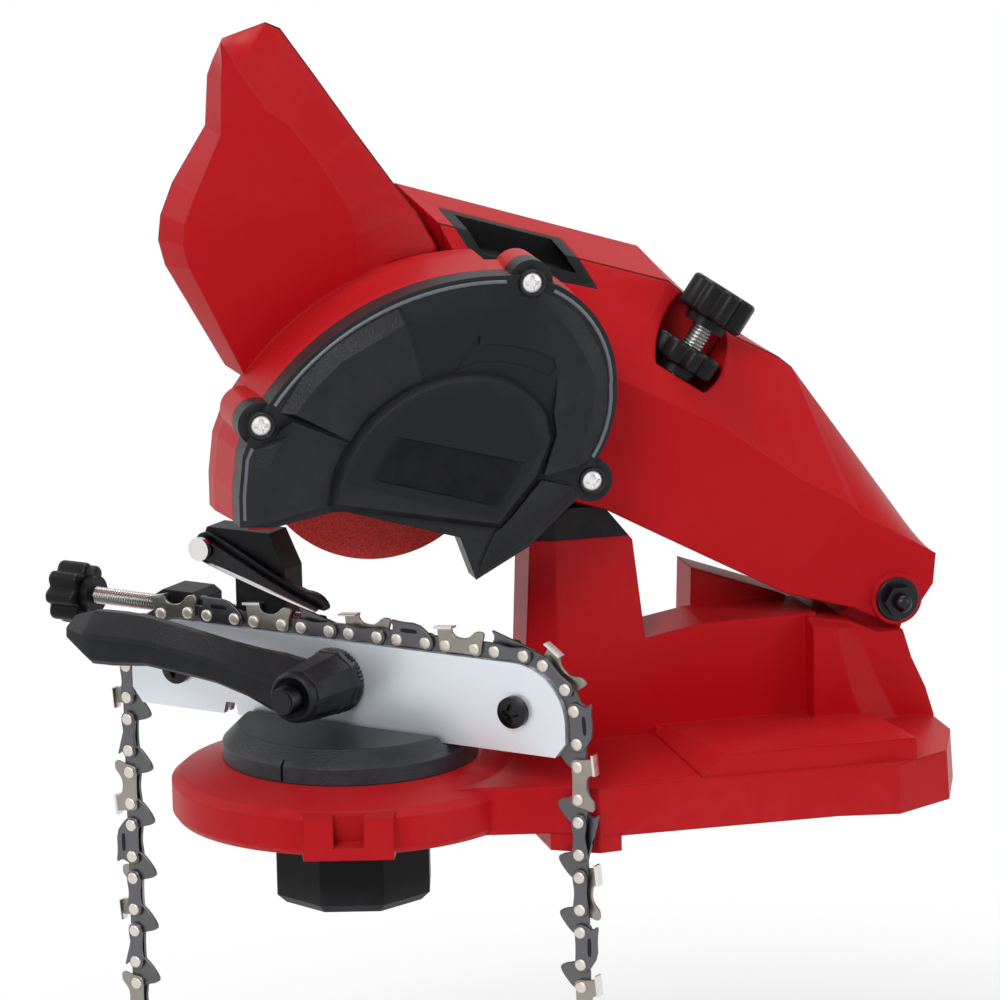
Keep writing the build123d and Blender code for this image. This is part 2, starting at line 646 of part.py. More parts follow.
near_y = -wheel_thickness / 2
far_y = wheel_thickness / 2
inner_flange = turned([(shaft_r, far_y + 4), (flange_r, far_y + 4), (flange_r, far_y),
                       (wheel_bore_r, far_y), (wheel_bore_r, near_y + 0.4),
                       (shaft_r, near_y + 0.4)], "inner_flange")
export_step(inner_flange.part, "parts/inner_flange.step")
grinding_wheel = turned([(wheel_bore_r, near_y), (wheel_r, near_y), (wheel_r, far_y),
                         (wheel_bore_r, far_y)], "grinding_wheel")
export_step(grinding_wheel.part, "parts/grinding_wheel.step")
outer_flange = turned([(shaft_r, near_y), (flange_r, near_y), (flange_r, near_y - 2.5),
                       (9, near_y - 4), (shaft_r, near_y - 4)], "outer_flange")
export_step(outer_flange.part, "parts/outer_flange.step")
motor_shaft = turned([(0, -13), (shaft_r, -13), (shaft_r, motor_far_y - 1),
                      (0, motor_far_y - 1)], "motor_shaft")
export_step(motor_shaft.part, "parts/motor_shaft.step")
motor_armature = turned([(shaft_r, 34), (12, 34), (12, 58), (shaft_r, 58)],
                        "motor_armature")
export_step(motor_armature.part, "parts/motor_armature.step")
cooling_fan = turned([(shaft_r, 26), (13, 26), (13, 31), (shaft_r, 31)], "cooling_fan")
export_step(cooling_fan.part, "parts/cooling_fan.step")
front_bearing = turned([(shaft_r + running_clearance, bearing_near_y), (bearing_r, bearing_near_y),
                        (bearing_r, bearing_near_y + 7),
                        (shaft_r + running_clearance, bearing_near_y + 7)], "front_bearing")
export_step(front_bearing.part, "parts/front_bearing.step")
motor_can = turned([(14, motor_near_y), (motor_r, motor_near_y), (motor_r, motor_far_y - 8),
                    (14, motor_far_y - 8)], "motor_can")
export_step(motor_can.part, "parts/motor_can.step")
motor_cap = turned([(shaft_r + running_clearance, motor_far_y - 8), (motor_r, motor_far_y - 8),
                    (motor_r, motor_far_y), (shaft_r + running_clearance, motor_far_y)],
                   "motor_cap")
export_step(motor_cap.part, "parts/motor_cap.step")

with BuildPart() as wheel_nut:
    with BuildSketch(side_plane(near_y - 4)):
        with Locations((spindle_x, spindle_z)):
            RegularPolygon(8, 6)
            Circle(shaft_r, mode=Mode.SUBTRACT)
    extrude(amount=6)
wheel_nut.part.label = "wheel_nut"
export_step(wheel_nut.part, "parts/wheel_nut.step")

with BuildPart() as battery_rails:
    with BuildSketch(side_plane(tower_far_y)):
        Polygon(*battery_seat, align=None)
        offset(amount=-battery_wall, mode=Mode.SUBTRACT, kind=Kind.INTERSECTION)
    extrude(amount=rail_seat_depth)
    with BuildSketch(side_plane(tower_far_y - rail_seat_depth + 2)):
        Polygon(*battery_seat, align=None)
    extrude(amount=2)
battery_rails.part.label = "battery_rails"
export_step(battery_rails.part, "parts/battery_rails.step")

with BuildPart() as battery_contacts:
    with BuildSketch(side_plane(tower_far_y - rail_seat_depth + 2)):
        with Locations((-17, 226)):
            with GridLocations(5, 1, 3, 1):
                Rectangle(1.2, 12)
    extrude(amount=-6)
battery_contacts.part.label = "battery_contacts"
export_step(battery_contacts.part, "parts/battery_contacts.step")

with BuildPart() as switch_frame:
    with BuildSketch(switch_plane):
        Rectangle(switch_length, switch_width)
        Rectangle(switch_length - 3, switch_width - 3, mode=Mode.SUBTRACT)
    extrude(amount=-switch_depth)
    with BuildSketch(switch_plane.offset(-switch_depth)):
        Rectangle(switch_length, switch_width)
    extrude(amount=2)
switch_frame.part.label = "switch_frame"
export_step(switch_frame.part, "parts/switch_frame.step")

with BuildPart() as rocker_switch:
    with BuildSketch(switch_plane):
        Rectangle(switch_length - 4, switch_width - 4)
    with BuildSketch(switch_plane.offset(-5)):
        Rectangle(switch_length - 7, switch_width - 4)
    loft(ruled=True)
    with BuildSketch(Plane(origin=switch_plane.origin, x_dir=switch_plane.x_dir,
                           z_dir=switch_plane.y_dir)):
        Polygon((-8, 0), (8, 0), (8, 2.6), (-8, 0.4), align=None)
    extrude(amount=(switch_width - 4) / 2, both=True)
rocker_switch.part.label = "rocker_switch"
export_step(rocker_switch.part, "parts/rocker_switch.step")


# ================================================================ depth stop
with BuildPart() as depth_insert:
    with BuildSketch(rod_plane.offset(-insert_depth)):
        Circle(insert_r)
        Circle(rod_r + running_clearance, mode=Mode.SUBTRACT)
    extrude(amount=-insert_length)
depth_insert.part.label = "depth_insert"
export_step(depth_insert.part, "parts/depth_insert.step")

with BuildPart() as depth_rod:
    with BuildSketch(rod_plane.offset(-3)):
        Circle(rod_r)
    extrude(amount=-rod_length)
depth_rod.part.label = "depth_rod"
export_step(depth_rod.part, "parts/depth_rod.step")


def star_knob(plane, radius, height, bore, through, name):
    """Star knob with eight lobes: it stands on the plane and rises along it."""
    corners = []
    for lobe in range(8):
        for angle, reach in ((-13, radius), (13, radius), (22.5, radius - 2)):
            turned_by = math.radians(45 * lobe + angle)
            corners.append((reach * math.cos(turned_by), reach * math.sin(turned_by)))
    with BuildPart() as knob:
        with BuildSketch(plane):
            Polygon(*corners, align=None)
        extrude(amount=height)
        with BuildSketch(plane):
            RegularPolygon(radius * 0.62, 16)
        extrude(amount=-3)
        with BuildSketch(plane.offset(-4)):
            Circle(bore)
        extrude(amount=through + 4, mode=Mode.SUBTRACT)
    knob.part.label = name
    return knob


depth_knob = star_knob(rod_plane.offset(-7), star_knob_r, 12, rod_r + running_clearance,
                       4, "depth_knob")
export_step(depth_knob.part, "parts/depth_knob.step")
depth_lock_knob = star_knob(rod_plane.offset(-insert_depth + 3.3), star_knob_r, 8,
                            rod_r + running_clearance, 9, "depth_lock_knob")
export_step(depth_lock_knob.part, "parts/depth_lock_knob.step")


# ================================================================ vise
disc_base_z = nose_top_z + 0.1
disc_top_z = disc_base_z + disc_height
plate_near = rail_gap / 2
plate_far = plate_near + plate_thickness
guide_screws = [(19.25 - rail_half, 43.0), (rail_half - 19.25, 43.0)]
guide_r = 2.5
clamp_t = -3.0
clamp_z = 46.0
stud_r = 4.0
carrier_far = 16.0
lever_near = plate_far + seat_gap
hub_r = 11.0
hub_front = 36.0

with BuildPart() as turntable:
    with BuildSketch(level_plane(disc_base_z)):
        Circle(disc_r)
    extrude(amount=disc_height)
    chamfer(turntable.edges().group_by(Axis.Z)[-1], disc_height / 2)
    # groove for the plates
    with BuildSketch(vise_level_plane(rail_bottom_z - 0.3)):
        with Locations((0, -(plate_far + 1.6) / 2 + (plate_far + 0.2) / 2)):
            Rectangle(120, 2 * plate_far + 2.0)
    extrude(amount=20, mode=Mode.SUBTRACT)
    # index groove in the rim, square to the rail
    with BuildSketch(vise_level_plane(disc_base_z - 1)):
        with Locations((0, -disc_r)):
            Rectangle(1.0, 4)
    extrude(amount=disc_height + 2, mode=Mode.SUBTRACT)
    with Locations(level_plane(disc_top_z)):
        Hole(5 + running_clearance)
turntable.part.label = "turntable"
export_step(turntable.part, "parts/turntable.step")

knob_top_z = front_rise - 0.3
with BuildPart() as turntable_bolt:
    with BuildSketch(level_plane(rail_bottom_z - 1.2)):
        Circle(5)
    extrude(amount=-(rail_bottom_z - 1.2 - knob_top_z + 24))
turntable_bolt.part.label = "turntable_bolt"
export_step(turntable_bolt.part, "parts/turntable_bolt.step")

with BuildPart() as lock_knob:
    with BuildSketch(level_plane(knob_top_z)):
        Circle(18)
    extrude(amount=-9)
    with BuildSketch(level_plane(knob_top_z - 9)):
        RegularPolygon(28, 8, rotation=8)
    extrude(amount=-21)
    chamfer(lock_knob.faces().sort_by(Axis.Z)[0].edges(), 3)
    with BuildSketch(level_plane(knob_top_z + 1)):
        Circle(9)
    extrude(amount=-28, mode=Mode.SUBTRACT)
lock_knob.part.label = "lock_knob"
export_step(lock_knob.part, "parts/lock_knob.step")

with BuildPart() as lock_insert:
    with BuildSketch(level_plane(knob_top_z)):
        Circle(9)
        Circle(5 + running_clearance, mode=Mode.SUBTRACT)
    extrude(amount=-25)
lock_insert.part.label = "lock_insert"
export_step(lock_insert.part, "parts/lock_insert.step")


def rail_outline():
    """Rail plate seen from the front, with rounded upper corners."""
    with BuildSketch() as outline:
        with BuildLine():
            Polyline((-rail_half, 34), (-rail_half, rail_top_z - rail_end_r))
            RadiusArc((-rail_half, rail_top_z - rail_end_r),
                      (-rail_half + rail_end_r, rail_top_z), rail_end_r)
            Line((-rail_half + rail_end_r, rail_top_z), (rail_half - rail_end_r, rail_top_z))
            RadiusArc((rail_half - rail_end_r, rail_top_z),
                      (rail_half, rail_top_z - rail_end_r), rail_end_r)
            Polyline((rail_half, rail_top_z - rail_end_r), (rail_half, 34),
                     (rail_half - 4, rail_bottom_z), (-43, rail_bottom_z), (-44, 33),
                     (-48, 33), (-49, rail_bottom_z), (-rail_half + 4, rail_bottom_z),
                     (-rail_half, 34))
        make_face()
    return outline.sketch


with BuildPart() as vise_front_plate:
    with BuildSketch(vise_plane(plate_near)):
        add(rail_outline())
        with Locations((clamp_t, clamp_z)):
            Circle(stud_r + running_clearance, mode=Mode.SUBTRACT)
        with Locations(*guide_screws):
            Circle(guide_r, mode=Mode.SUBTRACT)
    extrude(amount=plate_thickness)
vise_front_plate.part.label = "vise_front_plate"
export_step(vise_front_plate.part, "parts/vise_front_plate.step")

with BuildPart() as guide_screw_pair:
    with BuildSketch(vise_plane(plate_far)):
        with Locations(*guide_screws):
            Circle(5.2)
    extrude(amount=2.2)
    with BuildSketch(vise_plane(plate_far)):
        with Locations(*guide_screws):
            Circle(guide_r)
    extrude(amount=-(2 * plate_far + 6))
guide_screw_pair.part.label = "guide_screws"
export_step(guide_screw_pair.part, "parts/guide_screws.step")

with BuildPart() as vise_rear_plate:
    with BuildSketch(vise_plane(-plate_near)):
        add(rail_outline())
        with Locations((clamp_t, clamp_z)):
            Circle(stud_r, mode=Mode.SUBTRACT)
        with Locations(*guide_screws):
            Circle(guide_r + running_clearance, mode=Mode.SUBTRACT)
    extrude(amount=-plate_thickness)
vise_rear_plate.part.label = "vise_rear_plate"
export_step(vise_rear_plate.part, "parts/vise_rear_plate.step")

with BuildPart() as vise_carrier:
    with BuildSketch(vise_plane(-plate_far)):
        Polygon((-32, disc_top_z), (32, disc_top_z), (24, 52), (-24, 52), align=None)
        with Locations((clamp_t, clamp_z)):
            Circle(stud_r, mode=Mode.SUBTRACT)
    extrude(amount=-(carrier_far - plate_far))
vise_carrier.part.label = "vise_carrier"
export_step(vise_carrier.part, "parts/vise_carrier.step")

with BuildPart() as clamp_stud:
    with BuildSketch(vise_plane(-carrier_far)):
        with Locations((clamp_t, clamp_z)):
            Circle(stud_r)
    extrude(amount=carrier_far + hub_front + 2)
    with BuildSketch(vise_plane(-carrier_far)):
        with Locations((clamp_t, clamp_z)):
            RegularPolygon(7.5, 6)
    extrude(amount=-5)
clamp_stud.part.label = "clamp_stud"
export_step(clamp_stud.part, "parts/clamp_stud.step")

with BuildPart() as clamp_lever:
    with BuildSketch(vise_plane(lever_near)):
        with Locations((clamp_t, clamp_z)):
            Circle(hub_r)
    extrude(amount=hub_front - lever_near)
    with BuildSketch(vise_plane(15)):
        with BuildLine():
            Polyline((-96, 50), (-99.5, 56.4), (-96, 63), (-88.4, 64.6), (-65.2, 64),
                     (-33.2, 59), (-9.4, 57), (0, 54), (2, 42), (-8, 36), (-17.9, 39.5),
                     (-29.7, 45.1), (-61.7, 49.2), (-85.1, 46.6), (-96, 50))
        make_face()
    extrude(amount=13)
    with BuildSketch(vise_plane(lever_near - 1)):
        with Locations((clamp_t, clamp_z)):
            Circle(stud_r + running_clearance)
    extrude(amount=hub_front + 4, mode=Mode.SUBTRACT)
clamp_lever.part.label = "clamp_lever"
export_step(clamp_lever.part, "parts/clamp_lever.step")

# chain stop: bracket, feed screw, sliding post and pawl
bracket_from = 6.25 - rail_half
bracket_to = bracket_from + 18
post_from = bracket_to + 15
post_to = post_from + 20
post_top_z = 92.0
pin_place = (post_from - 9, 86.0)
feed_screw_from = bracket_from - 39
feed_knob_at = feed_screw_from + 7
with BuildPart() as feed_bracket:
    with BuildSketch(vise_plane(-plate_far)):
        Polygon((bracket_from, 54), (bracket_from, 66), (bracket_from + 3, 68),
                (bracket_to - 3, 68), (bracket_to, 66), (bracket_to, 48),
                (bracket_from + 8, 48), align=None)
    extrude(amount=-14)
    with BuildSketch(vise_end_plane(bracket_from - 1, -stop_y)):
        with Locations((0, feed_screw_z)):
            Circle(feed_screw_r + running_clearance)
    extrude(amount=40, mode=Mode.SUBTRACT)
feed_bracket.part.label = "feed_bracket"
export_step(feed_bracket.part, "parts/feed_bracket.step")

with BuildPart() as feed_screw:
    with BuildSketch(vise_end_plane(feed_screw_from, -stop_y)):
        with Locations((0, feed_screw_z)):
            Circle(feed_screw_r)
    extrude(amount=post_to + 7 - feed_screw_from)
feed_screw.part.label = "feed_screw"
export_step(feed_screw.part, "parts/feed_screw.step")

knob_plane = Plane(origin=vise_end_plane(feed_knob_at, -stop_y).origin + (0, 0, feed_screw_z),
                   x_dir=(0, 0, 1), z_dir=(-rail_dir[0], -rail_dir[1], 0))
feed_knob = star_knob(knob_plane, 11.0, 12.0, feed_screw_r, 7.0, "feed_knob")
export_step(feed_knob.part, "parts/feed_knob.step")

with BuildPart() as stop_carriage:
    with BuildSketch(vise_plane(-plate_far - seat_gap)):
        Polygon((post_from, 53), (post_to, 53), (post_to, 80), (post_to - 6, post_top_z),
                (post_from - 11, post_top_z), (post_from - 14, 86), (post_from - 11, 80),
                (post_from, 78), align=None)
    extrude(amount=-11)
    with BuildSketch(vise_end_plane(post_from - 1, -stop_y)):
        with Locations((0, feed_screw_z)):
            Circle(feed_screw_r + running_clearance)
    extrude(amount=40, mode=Mode.SUBTRACT)
    with BuildSketch(vise_plane(0)):
        with Locations(pin_place):
            Circle(2.5)
    extrude(amount=-20, mode=Mode.SUBTRACT)
stop_carriage.part.label = "stop_carriage"
export_step(stop_carriage.part, "parts/stop_carriage.step")

with BuildPart() as stop_pin:
    with BuildSketch(vise_plane(-plate_far - seat_gap - 11)):
        with Locations(pin_place):
            Circle(2.5)
    extrude(amount=18)
    with BuildSketch(vise_plane(7 - plate_far - seat_gap)):
        with Locations(pin_place):
            Circle(4)
    extrude(amount=2)
stop_pin.part.label = "stop_pin"
export_step(stop_pin.part, "parts/stop_pin.step")

with BuildPart() as stop_pawl:
    with BuildSketch(vise_plane(-plate_far - seat_gap + 0.3)):
        with BuildLine():
            Polyline((post_from - 11, 81), (post_from + 36.5, 67.5), (post_from + 39.3, 69.5),
                     (post_from + 35, 74), (post_from + 27, 74.5), (post_from - 7, 91),
                     (post_from - 13, 90.5), (post_from - 14.5, 84), (post_from - 11, 81))
        make_face()
        with Locations(pin_place):
            Circle(2.5 + running_clearance, mode=Mode.SUBTRACT)
    extrude(amount=6.2)
stop_pawl.part.label = "stop_pawl"
export_step(stop_pawl.part, "parts/stop_pawl.step")


# ================================================================ chain
rivet_z = rail_top_z + 0.1 + strap_half
corner_gap = 1.0              # chain's middle line stands off the rail's corners
corner_r = rail_end_r + corner_gap + strap_half
side_t = rail_half + corner_gap + strap_half
pitch_pair = drive_link_span + strap_span
loop_length = drive_link_count * pitch_pair
top_half = side_t - corner_r
drop_length = (loop_length - 2 * top_half - math.pi * corner_r - math.pi * side_t) / 2
corner_z = rivet_z - corner_r
bottom_z = corner_z - drop_length


def chain_point(s):
    """Place of the chain's centre line, s mm along it from the rail's middle."""
    s = s % loop_length
    quarter = corner_r * math.pi / 2
    if s < top_half:
        return (s, rivet_z)
    s -= top_half
    if s < quarter:
        a = s / corner_r
        return (top_half + corner_r * math.sin(a), corner_z + corner_r * math.cos(a))
    s -= quarter
    if s < drop_length:
        return (side_t, corner_z - s)
    s -= drop_length
    if s < side_t * math.pi:
        a = s / side_t
        return (side_t * math.cos(a), bottom_z - side_t * math.sin(a))
    s -= side_t * math.pi
    if s < drop_length:
        return (-side_t, bottom_z + s)
    s -= drop_length
    if s < quarter:
        a = s / corner_r
        return (-top_half - corner_r * math.cos(a), corner_z + corner_r * math.sin(a))
    return (s - quarter - top_half, rivet_z)


first_rivet = -55.1 + loop_length


def link_places(offset, span):
    """(middle, angle, run) of each link; the run is the straight or bend it is on."""
    places = []
    for k in range(drive_link_count):
        s = first_rivet + offset + k * pitch_pair
        x0, z0 = chain_point(s)
        x1, z1 = chain_point(s + span)
        angle = math.degrees(math.atan2(z1 - z0, x1 - x0))
        middle = ((x0 + x1) / 2, (z0 + z1) / 2)
        if middle[1] < bottom_z:
            run = "bend"
        elif middle[0] > top_half:
            run = "right"
        elif middle[0] < -top_half:
            run = "left"
        else:
            run = "top"
        places.append((middle, angle, run))
    return places


straps = link_places(0, strap_span)
drive_links = link_places(strap_span, drive_link_span)
strap_reach = strap_span / 2
link_reach = drive_link_span / 2
half_drive = drive_link_thickness / 2


def strap_shape():
    """Figure-eight side plate."""
    with BuildSketch() as shape:
        Polygon((-strap_reach - 2.4, -1.2), (-strap_reach - 1.2, -strap_half),
                (-2, -strap_half + 0.5), (2, -strap_half + 0.5),
                (strap_reach + 1.2, -strap_half), (strap_reach + 2.4, -1.2),
                (strap_reach + 2.4, 1.2), (strap_reach + 1.2, strap_half),
                (-strap_reach - 1.2, strap_half), (-strap_reach - 2.4, 1.2), align=None)
    return shape.sketch


def drive_link_shape():
    """Drive link with its tang pointing into the loop."""
    with BuildSketch() as shape:
        Polygon((-link_reach - 2.4, -1), (-link_reach - 0.5, -strap_half), (-3, -8.2),
                (-1, -8.8), (link_reach - 0.4, -5.2), (link_reach + 1.4, -strap_half),
                (link_reach + 2.4, 0), (link_reach + 1, strap_half),
                (-link_reach - 1, strap_half), align=None)
    return shape.sketch


def cutter_shape():
    """Cutter side plate: tooth at the rear, gullet, and depth gauge in front."""
    with BuildSketch() as shape:
        Polygon((-strap_reach - 2.4, -1.2), (-strap_reach - 1.2, -strap_half),
                (-strap_reach + 1.5, -strap_half + 0.9), (strap_reach - 1.5, -strap_half + 0.9),
                (strap_reach + 1.2, -strap_half), (strap_reach + 2.4, -1.2),
                (strap_reach + 2.6, 2), (strap_reach + 3.0, 6.6), (strap_reach - 0.4, 5),
                (2.0, 2.6), (-0.5, 3.4), (-0.5, 7.4), (-strap_reach - 2.6, 6.4),
                (-strap_reach - 2.4, 1), align=None)
    return shape.sketch


def placed(face, place):
    """A link's outline moved to its place along the chain."""
    (x, z), angle, run = place
    return Pos(x, z) * Rot(0, 0, angle) * face


def cutter_side(k):
    """Side of the k-th strap pair that carries a cutter: 1 near, -1 far, 0 none."""
    return (0, 1, 0, -1)[k % 4]


runs = ["top", "right", "left", "bend"]
chain_nodes = {}
for run in runs:
    with BuildPart() as links:
        with BuildSketch(vise_plane(-half_drive)):
            for place in drive_links:
                if place[2] == run:
                    add(placed(drive_link_shape(), place))
        extrude(amount=drive_link_thickness)
    chain_nodes["drive_links_" + run] = links.part
    with BuildPart() as plates:
        for side, near in ((1, half_drive), (-1, -half_drive - strap_thickness)):
            with BuildSketch(vise_plane(near)):
                for k, place in enumerate(straps):
                    if place[2] == run and cutter_side(k) != side:
                        add(placed(strap_shape(), place))
            extrude(amount=strap_thickness)
    chain_nodes["tie_straps_" + run] = plates.part
    with BuildPart() as cutters:
        for side, near in ((1, half_drive), (-1, -half_drive - strap_thickness)):
            with BuildSketch(vise_plane(near)):
                for k, place in enumerate(straps):
                    if place[2] == run and cutter_side(k) == side:
                        add(placed(cutter_shape(), place))
            extrude(amount=strap_thickness)
    chain_nodes["cutters_" + run] = cutters.part
for name, shape in chain_nodes.items():
    shape.label = name
    export_step(shape, "parts/" + name + ".step")

with BuildPart() as chain_rivets:
    for near in (half_drive + strap_thickness, -half_drive - strap_thickness - 0.7):
        with BuildSketch(vise_plane(near)):
            for k in range(drive_link_count):
                for offset in (0, strap_span):
                    with Locations(chain_point(first_rivet + k * pitch_pair + offset)):
                        RegularPolygon(rivet_r, 6)
        extrude(amount=0.7)
chain_rivets.part.label = "chain_rivets"
export_step(chain_rivets.part, "parts/chain_rivets.step")
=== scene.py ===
"""Electric chainsaw sharpener: materials, fine pieces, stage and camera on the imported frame."""
import json
import math

import bmesh
import bpy
import numpy as np
from bpy.props import FloatProperty, FloatVectorProperty, IntProperty, PointerProperty
from mathutils import Matrix, Vector

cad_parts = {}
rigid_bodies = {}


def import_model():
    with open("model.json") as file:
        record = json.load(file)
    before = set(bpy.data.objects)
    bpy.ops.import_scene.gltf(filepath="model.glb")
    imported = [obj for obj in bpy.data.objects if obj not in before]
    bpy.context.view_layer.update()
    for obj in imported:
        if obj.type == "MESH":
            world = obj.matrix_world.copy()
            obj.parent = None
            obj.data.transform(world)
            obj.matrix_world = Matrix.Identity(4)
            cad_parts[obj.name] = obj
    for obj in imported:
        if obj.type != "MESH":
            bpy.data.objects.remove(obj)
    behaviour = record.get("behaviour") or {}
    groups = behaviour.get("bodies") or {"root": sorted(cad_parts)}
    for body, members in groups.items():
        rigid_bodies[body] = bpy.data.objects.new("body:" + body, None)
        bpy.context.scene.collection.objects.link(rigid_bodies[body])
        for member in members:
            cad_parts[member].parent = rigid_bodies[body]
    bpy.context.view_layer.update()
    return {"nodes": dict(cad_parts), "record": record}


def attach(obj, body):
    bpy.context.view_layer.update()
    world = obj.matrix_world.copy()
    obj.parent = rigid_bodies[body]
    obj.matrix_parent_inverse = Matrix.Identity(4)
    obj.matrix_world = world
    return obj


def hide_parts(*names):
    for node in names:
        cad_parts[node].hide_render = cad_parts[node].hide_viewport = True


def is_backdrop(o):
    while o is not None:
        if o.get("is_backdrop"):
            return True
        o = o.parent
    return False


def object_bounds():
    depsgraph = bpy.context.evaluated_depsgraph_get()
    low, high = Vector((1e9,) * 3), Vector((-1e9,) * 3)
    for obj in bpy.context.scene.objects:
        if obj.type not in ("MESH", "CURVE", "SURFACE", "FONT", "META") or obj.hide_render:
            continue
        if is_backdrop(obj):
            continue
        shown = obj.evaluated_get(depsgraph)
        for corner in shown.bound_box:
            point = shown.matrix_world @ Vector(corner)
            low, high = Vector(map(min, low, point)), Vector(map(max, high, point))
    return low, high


bl_info = {
    "name": "Chainsaw sharpener",
    "version": (1, 0, 0),
    "blender": (4, 5, 0),
    "location": "View3D > Sidebar > Sharpener",
    "description": "Dresses the sharpener's frame with materials, fine pieces and a stage",
    "category": "Object",
}

MM = 0.001
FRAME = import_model()
MATERIALS = {}


# ------------------------------------------------------------------ settings
class StageSettings(bpy.types.PropertyGroup):
    """Camera and floor."""
    camera_at: FloatVectorProperty(
        name="Camera at", description="Place of the camera in the object's frame",
        default=(-0.5935, -2.1352, 0.5951), unit="LENGTH")
    camera_right: FloatVectorProperty(
        name="Camera right", description="Direction of the image's right side",
        default=(0.96895, -0.24642, -0.02041))
    camera_back: FloatVectorProperty(
        name="Camera back", description="Direction from the object to the camera",
        default=(-0.23578, -0.94566, 0.22393))
    lens: FloatProperty(
        name="Lens", description="Focal length in millimetres on a 36 mm sensor", default=233.6)
    floor_size: FloatProperty(
        name="Floor size", description="Distance from the middle of the floor to its sides",
        default=6.0, unit="LENGTH")
    floor_near: FloatProperty(
        name="Lit floor", description="Up to this distance the floor shows light and shadow",
        default=0.12, unit="LENGTH")
    floor_far: FloatProperty(
        name="White floor", description="From this distance the floor is plain white",
        default=0.45, unit="LENGTH")
    floor_colour: FloatVectorProperty(
        name="Floor colour", description="Colour of the floor", default=(1.0, 1.0, 1.0),
        subtype="COLOR")


class FinishSettings(bpy.types.PropertyGroup):
    """Colours and surface detail."""
    red: FloatVectorProperty(
        name="Red", description="Colour of the red housing", default=(0.50, 0.004, 0.009),
        subtype="COLOR")
    black: FloatVectorProperty(
        name="Black", description="Colour of the black plastic", default=(0.005, 0.005, 0.006),
        subtype="COLOR")
    grain_size: FloatProperty(
        name="Grain size", description="Grains of moulded texture per metre", default=900.0)
    grain_depth: FloatProperty(
        name="Grain depth", description="Height of the moulded texture", default=0.00006,
        unit="LENGTH")
    edge_round: FloatProperty(
        name="Edge round", description="Radius of the housings' edges as light sees them",
        default=0.0013, unit="LENGTH")


class ShapeSettings(bpy.types.PropertyGroup):
    """Shapes that can be set by themselves."""
    knob_lobes: IntProperty(
        name="Knob lobes", description="Lobes of each star knob", default=8)
    knob_dip: FloatProperty(
        name="Knob dip", description="Depth of the valleys between a knob's lobes",
        default=0.0022, unit="LENGTH")


# ------------------------------------------------------------------ node helpers
SOCKET_KINDS = {1: "NodeSocketFloat", 3: "NodeSocketVector", 4: "NodeSocketColor"}


def feed(tree, node, into):
    """Feeds sockets of a node, by name or number, from other sockets or with constants."""
    for key, source in into.items():
        if isinstance(source, bpy.types.NodeSocket):
            tree.links.new(source, node.inputs[key])
        else:
            node.inputs[key].default_value = source


def add_node(tree, kind, into=None, **properties):
    """New shader node with its properties set and its sockets fed."""
    node = tree.nodes.new("ShaderNode" + kind)
    for key, value in properties.items():
        setattr(node, key, value)
    feed(tree, node, into or {})
    return node


def over_object(tree, kind, into=None, **properties):
    """New node that reads the surface's place in the piece's own coordinates."""
    place = add_node(tree, "TexCoord").outputs["Object"]
    return add_node(tree, kind, {"Vector": place, **(into or {})}, **properties)


def noise(tree, scale, detail):
    """Socket with noise over the piece, from 0 to 1."""
    return over_object(tree, "TexNoise", {"Scale": scale, "Detail": detail}).outputs["Fac"]


def combine(tree, operation, *operands, use_clamp=False):
    """Socket with the result of a math operation on sockets and numbers."""
    return add_node(tree, "Math", dict(enumerate(operands)), operation=operation,
                    use_clamp=use_clamp).outputs[0]


def mix_colours(tree, share, first, second):
    """Socket that goes from the first colour to the second as the share goes from 0 to 1."""
    return add_node(tree, "Mix", {0: share, 6: first, 7: second}, data_type="RGBA").outputs[2]


def new_group(name, inputs, outputs):
    """Shader node group with named inputs, by their constants, and outputs, by their sizes.

    A size of 1 makes a float socket, 3 a vector and 4 a colour.  Returns the group, the
    sockets that its inputs give inside it, and the node that takes its outputs."""
    group = bpy.data.node_groups.new(name, "ShaderNodeTree")
    for label, constant in inputs.items():
        socket = group.interface.new_socket(label, in_out="INPUT",
                                            socket_type=SOCKET_KINDS[np.size(constant)])
        socket.default_value = constant
    for label, size in outputs.items():
        group.interface.new_socket(label, in_out="OUTPUT", socket_type=SOCKET_KINDS[size])
    start = group.nodes.new("NodeGroupInput")
    return group, start.outputs, group.nodes.new("NodeGroupOutput")


def place_group(tree, group, into):
    """Places a node group in a tree and feeds its inputs."""
    return add_node(tree, "Group", into, node_tree=group)


# ------------------------------------------------------------------ surface effects
def moulded_grain():
    """Fine moulded texture: noise bumps and a slight change of roughness."""
    group, start, end = new_group(
        "Moulded grain", {"Scale": 900.0, "Depth": 0.00006, "Roughness": 0.4, "Variation": 0.05,
                          "Normal": (0.0, 0.0, 0.0)}, {"Normal": 3, "Roughness": 1})
    grains = over_object(group, "TexNoise",
                         {"Scale": start["Scale"], "Detail": 3.0, "Roughness": 0.6})
    cells = over_object(group, "TexVoronoi", {"Scale": start["Scale"]})
    height = combine(group, "MULTIPLY", grains.outputs["Fac"], cells.outputs["Distance"])
    bump = add_node(group, "Bump", {"Strength": 1.0, "Distance": start["Depth"],
                                    "Height": height, "Normal": start["Normal"]})
    wide = combine(group, "SUBTRACT", noise(group, 14.0, 4.0), 0.5)
    feed(group, end, {"Normal": bump.outputs["Normal"],
                      "Roughness": combine(group, "MULTIPLY_ADD", wide, start["Variation"],
                                           start["Roughness"])})
    return group


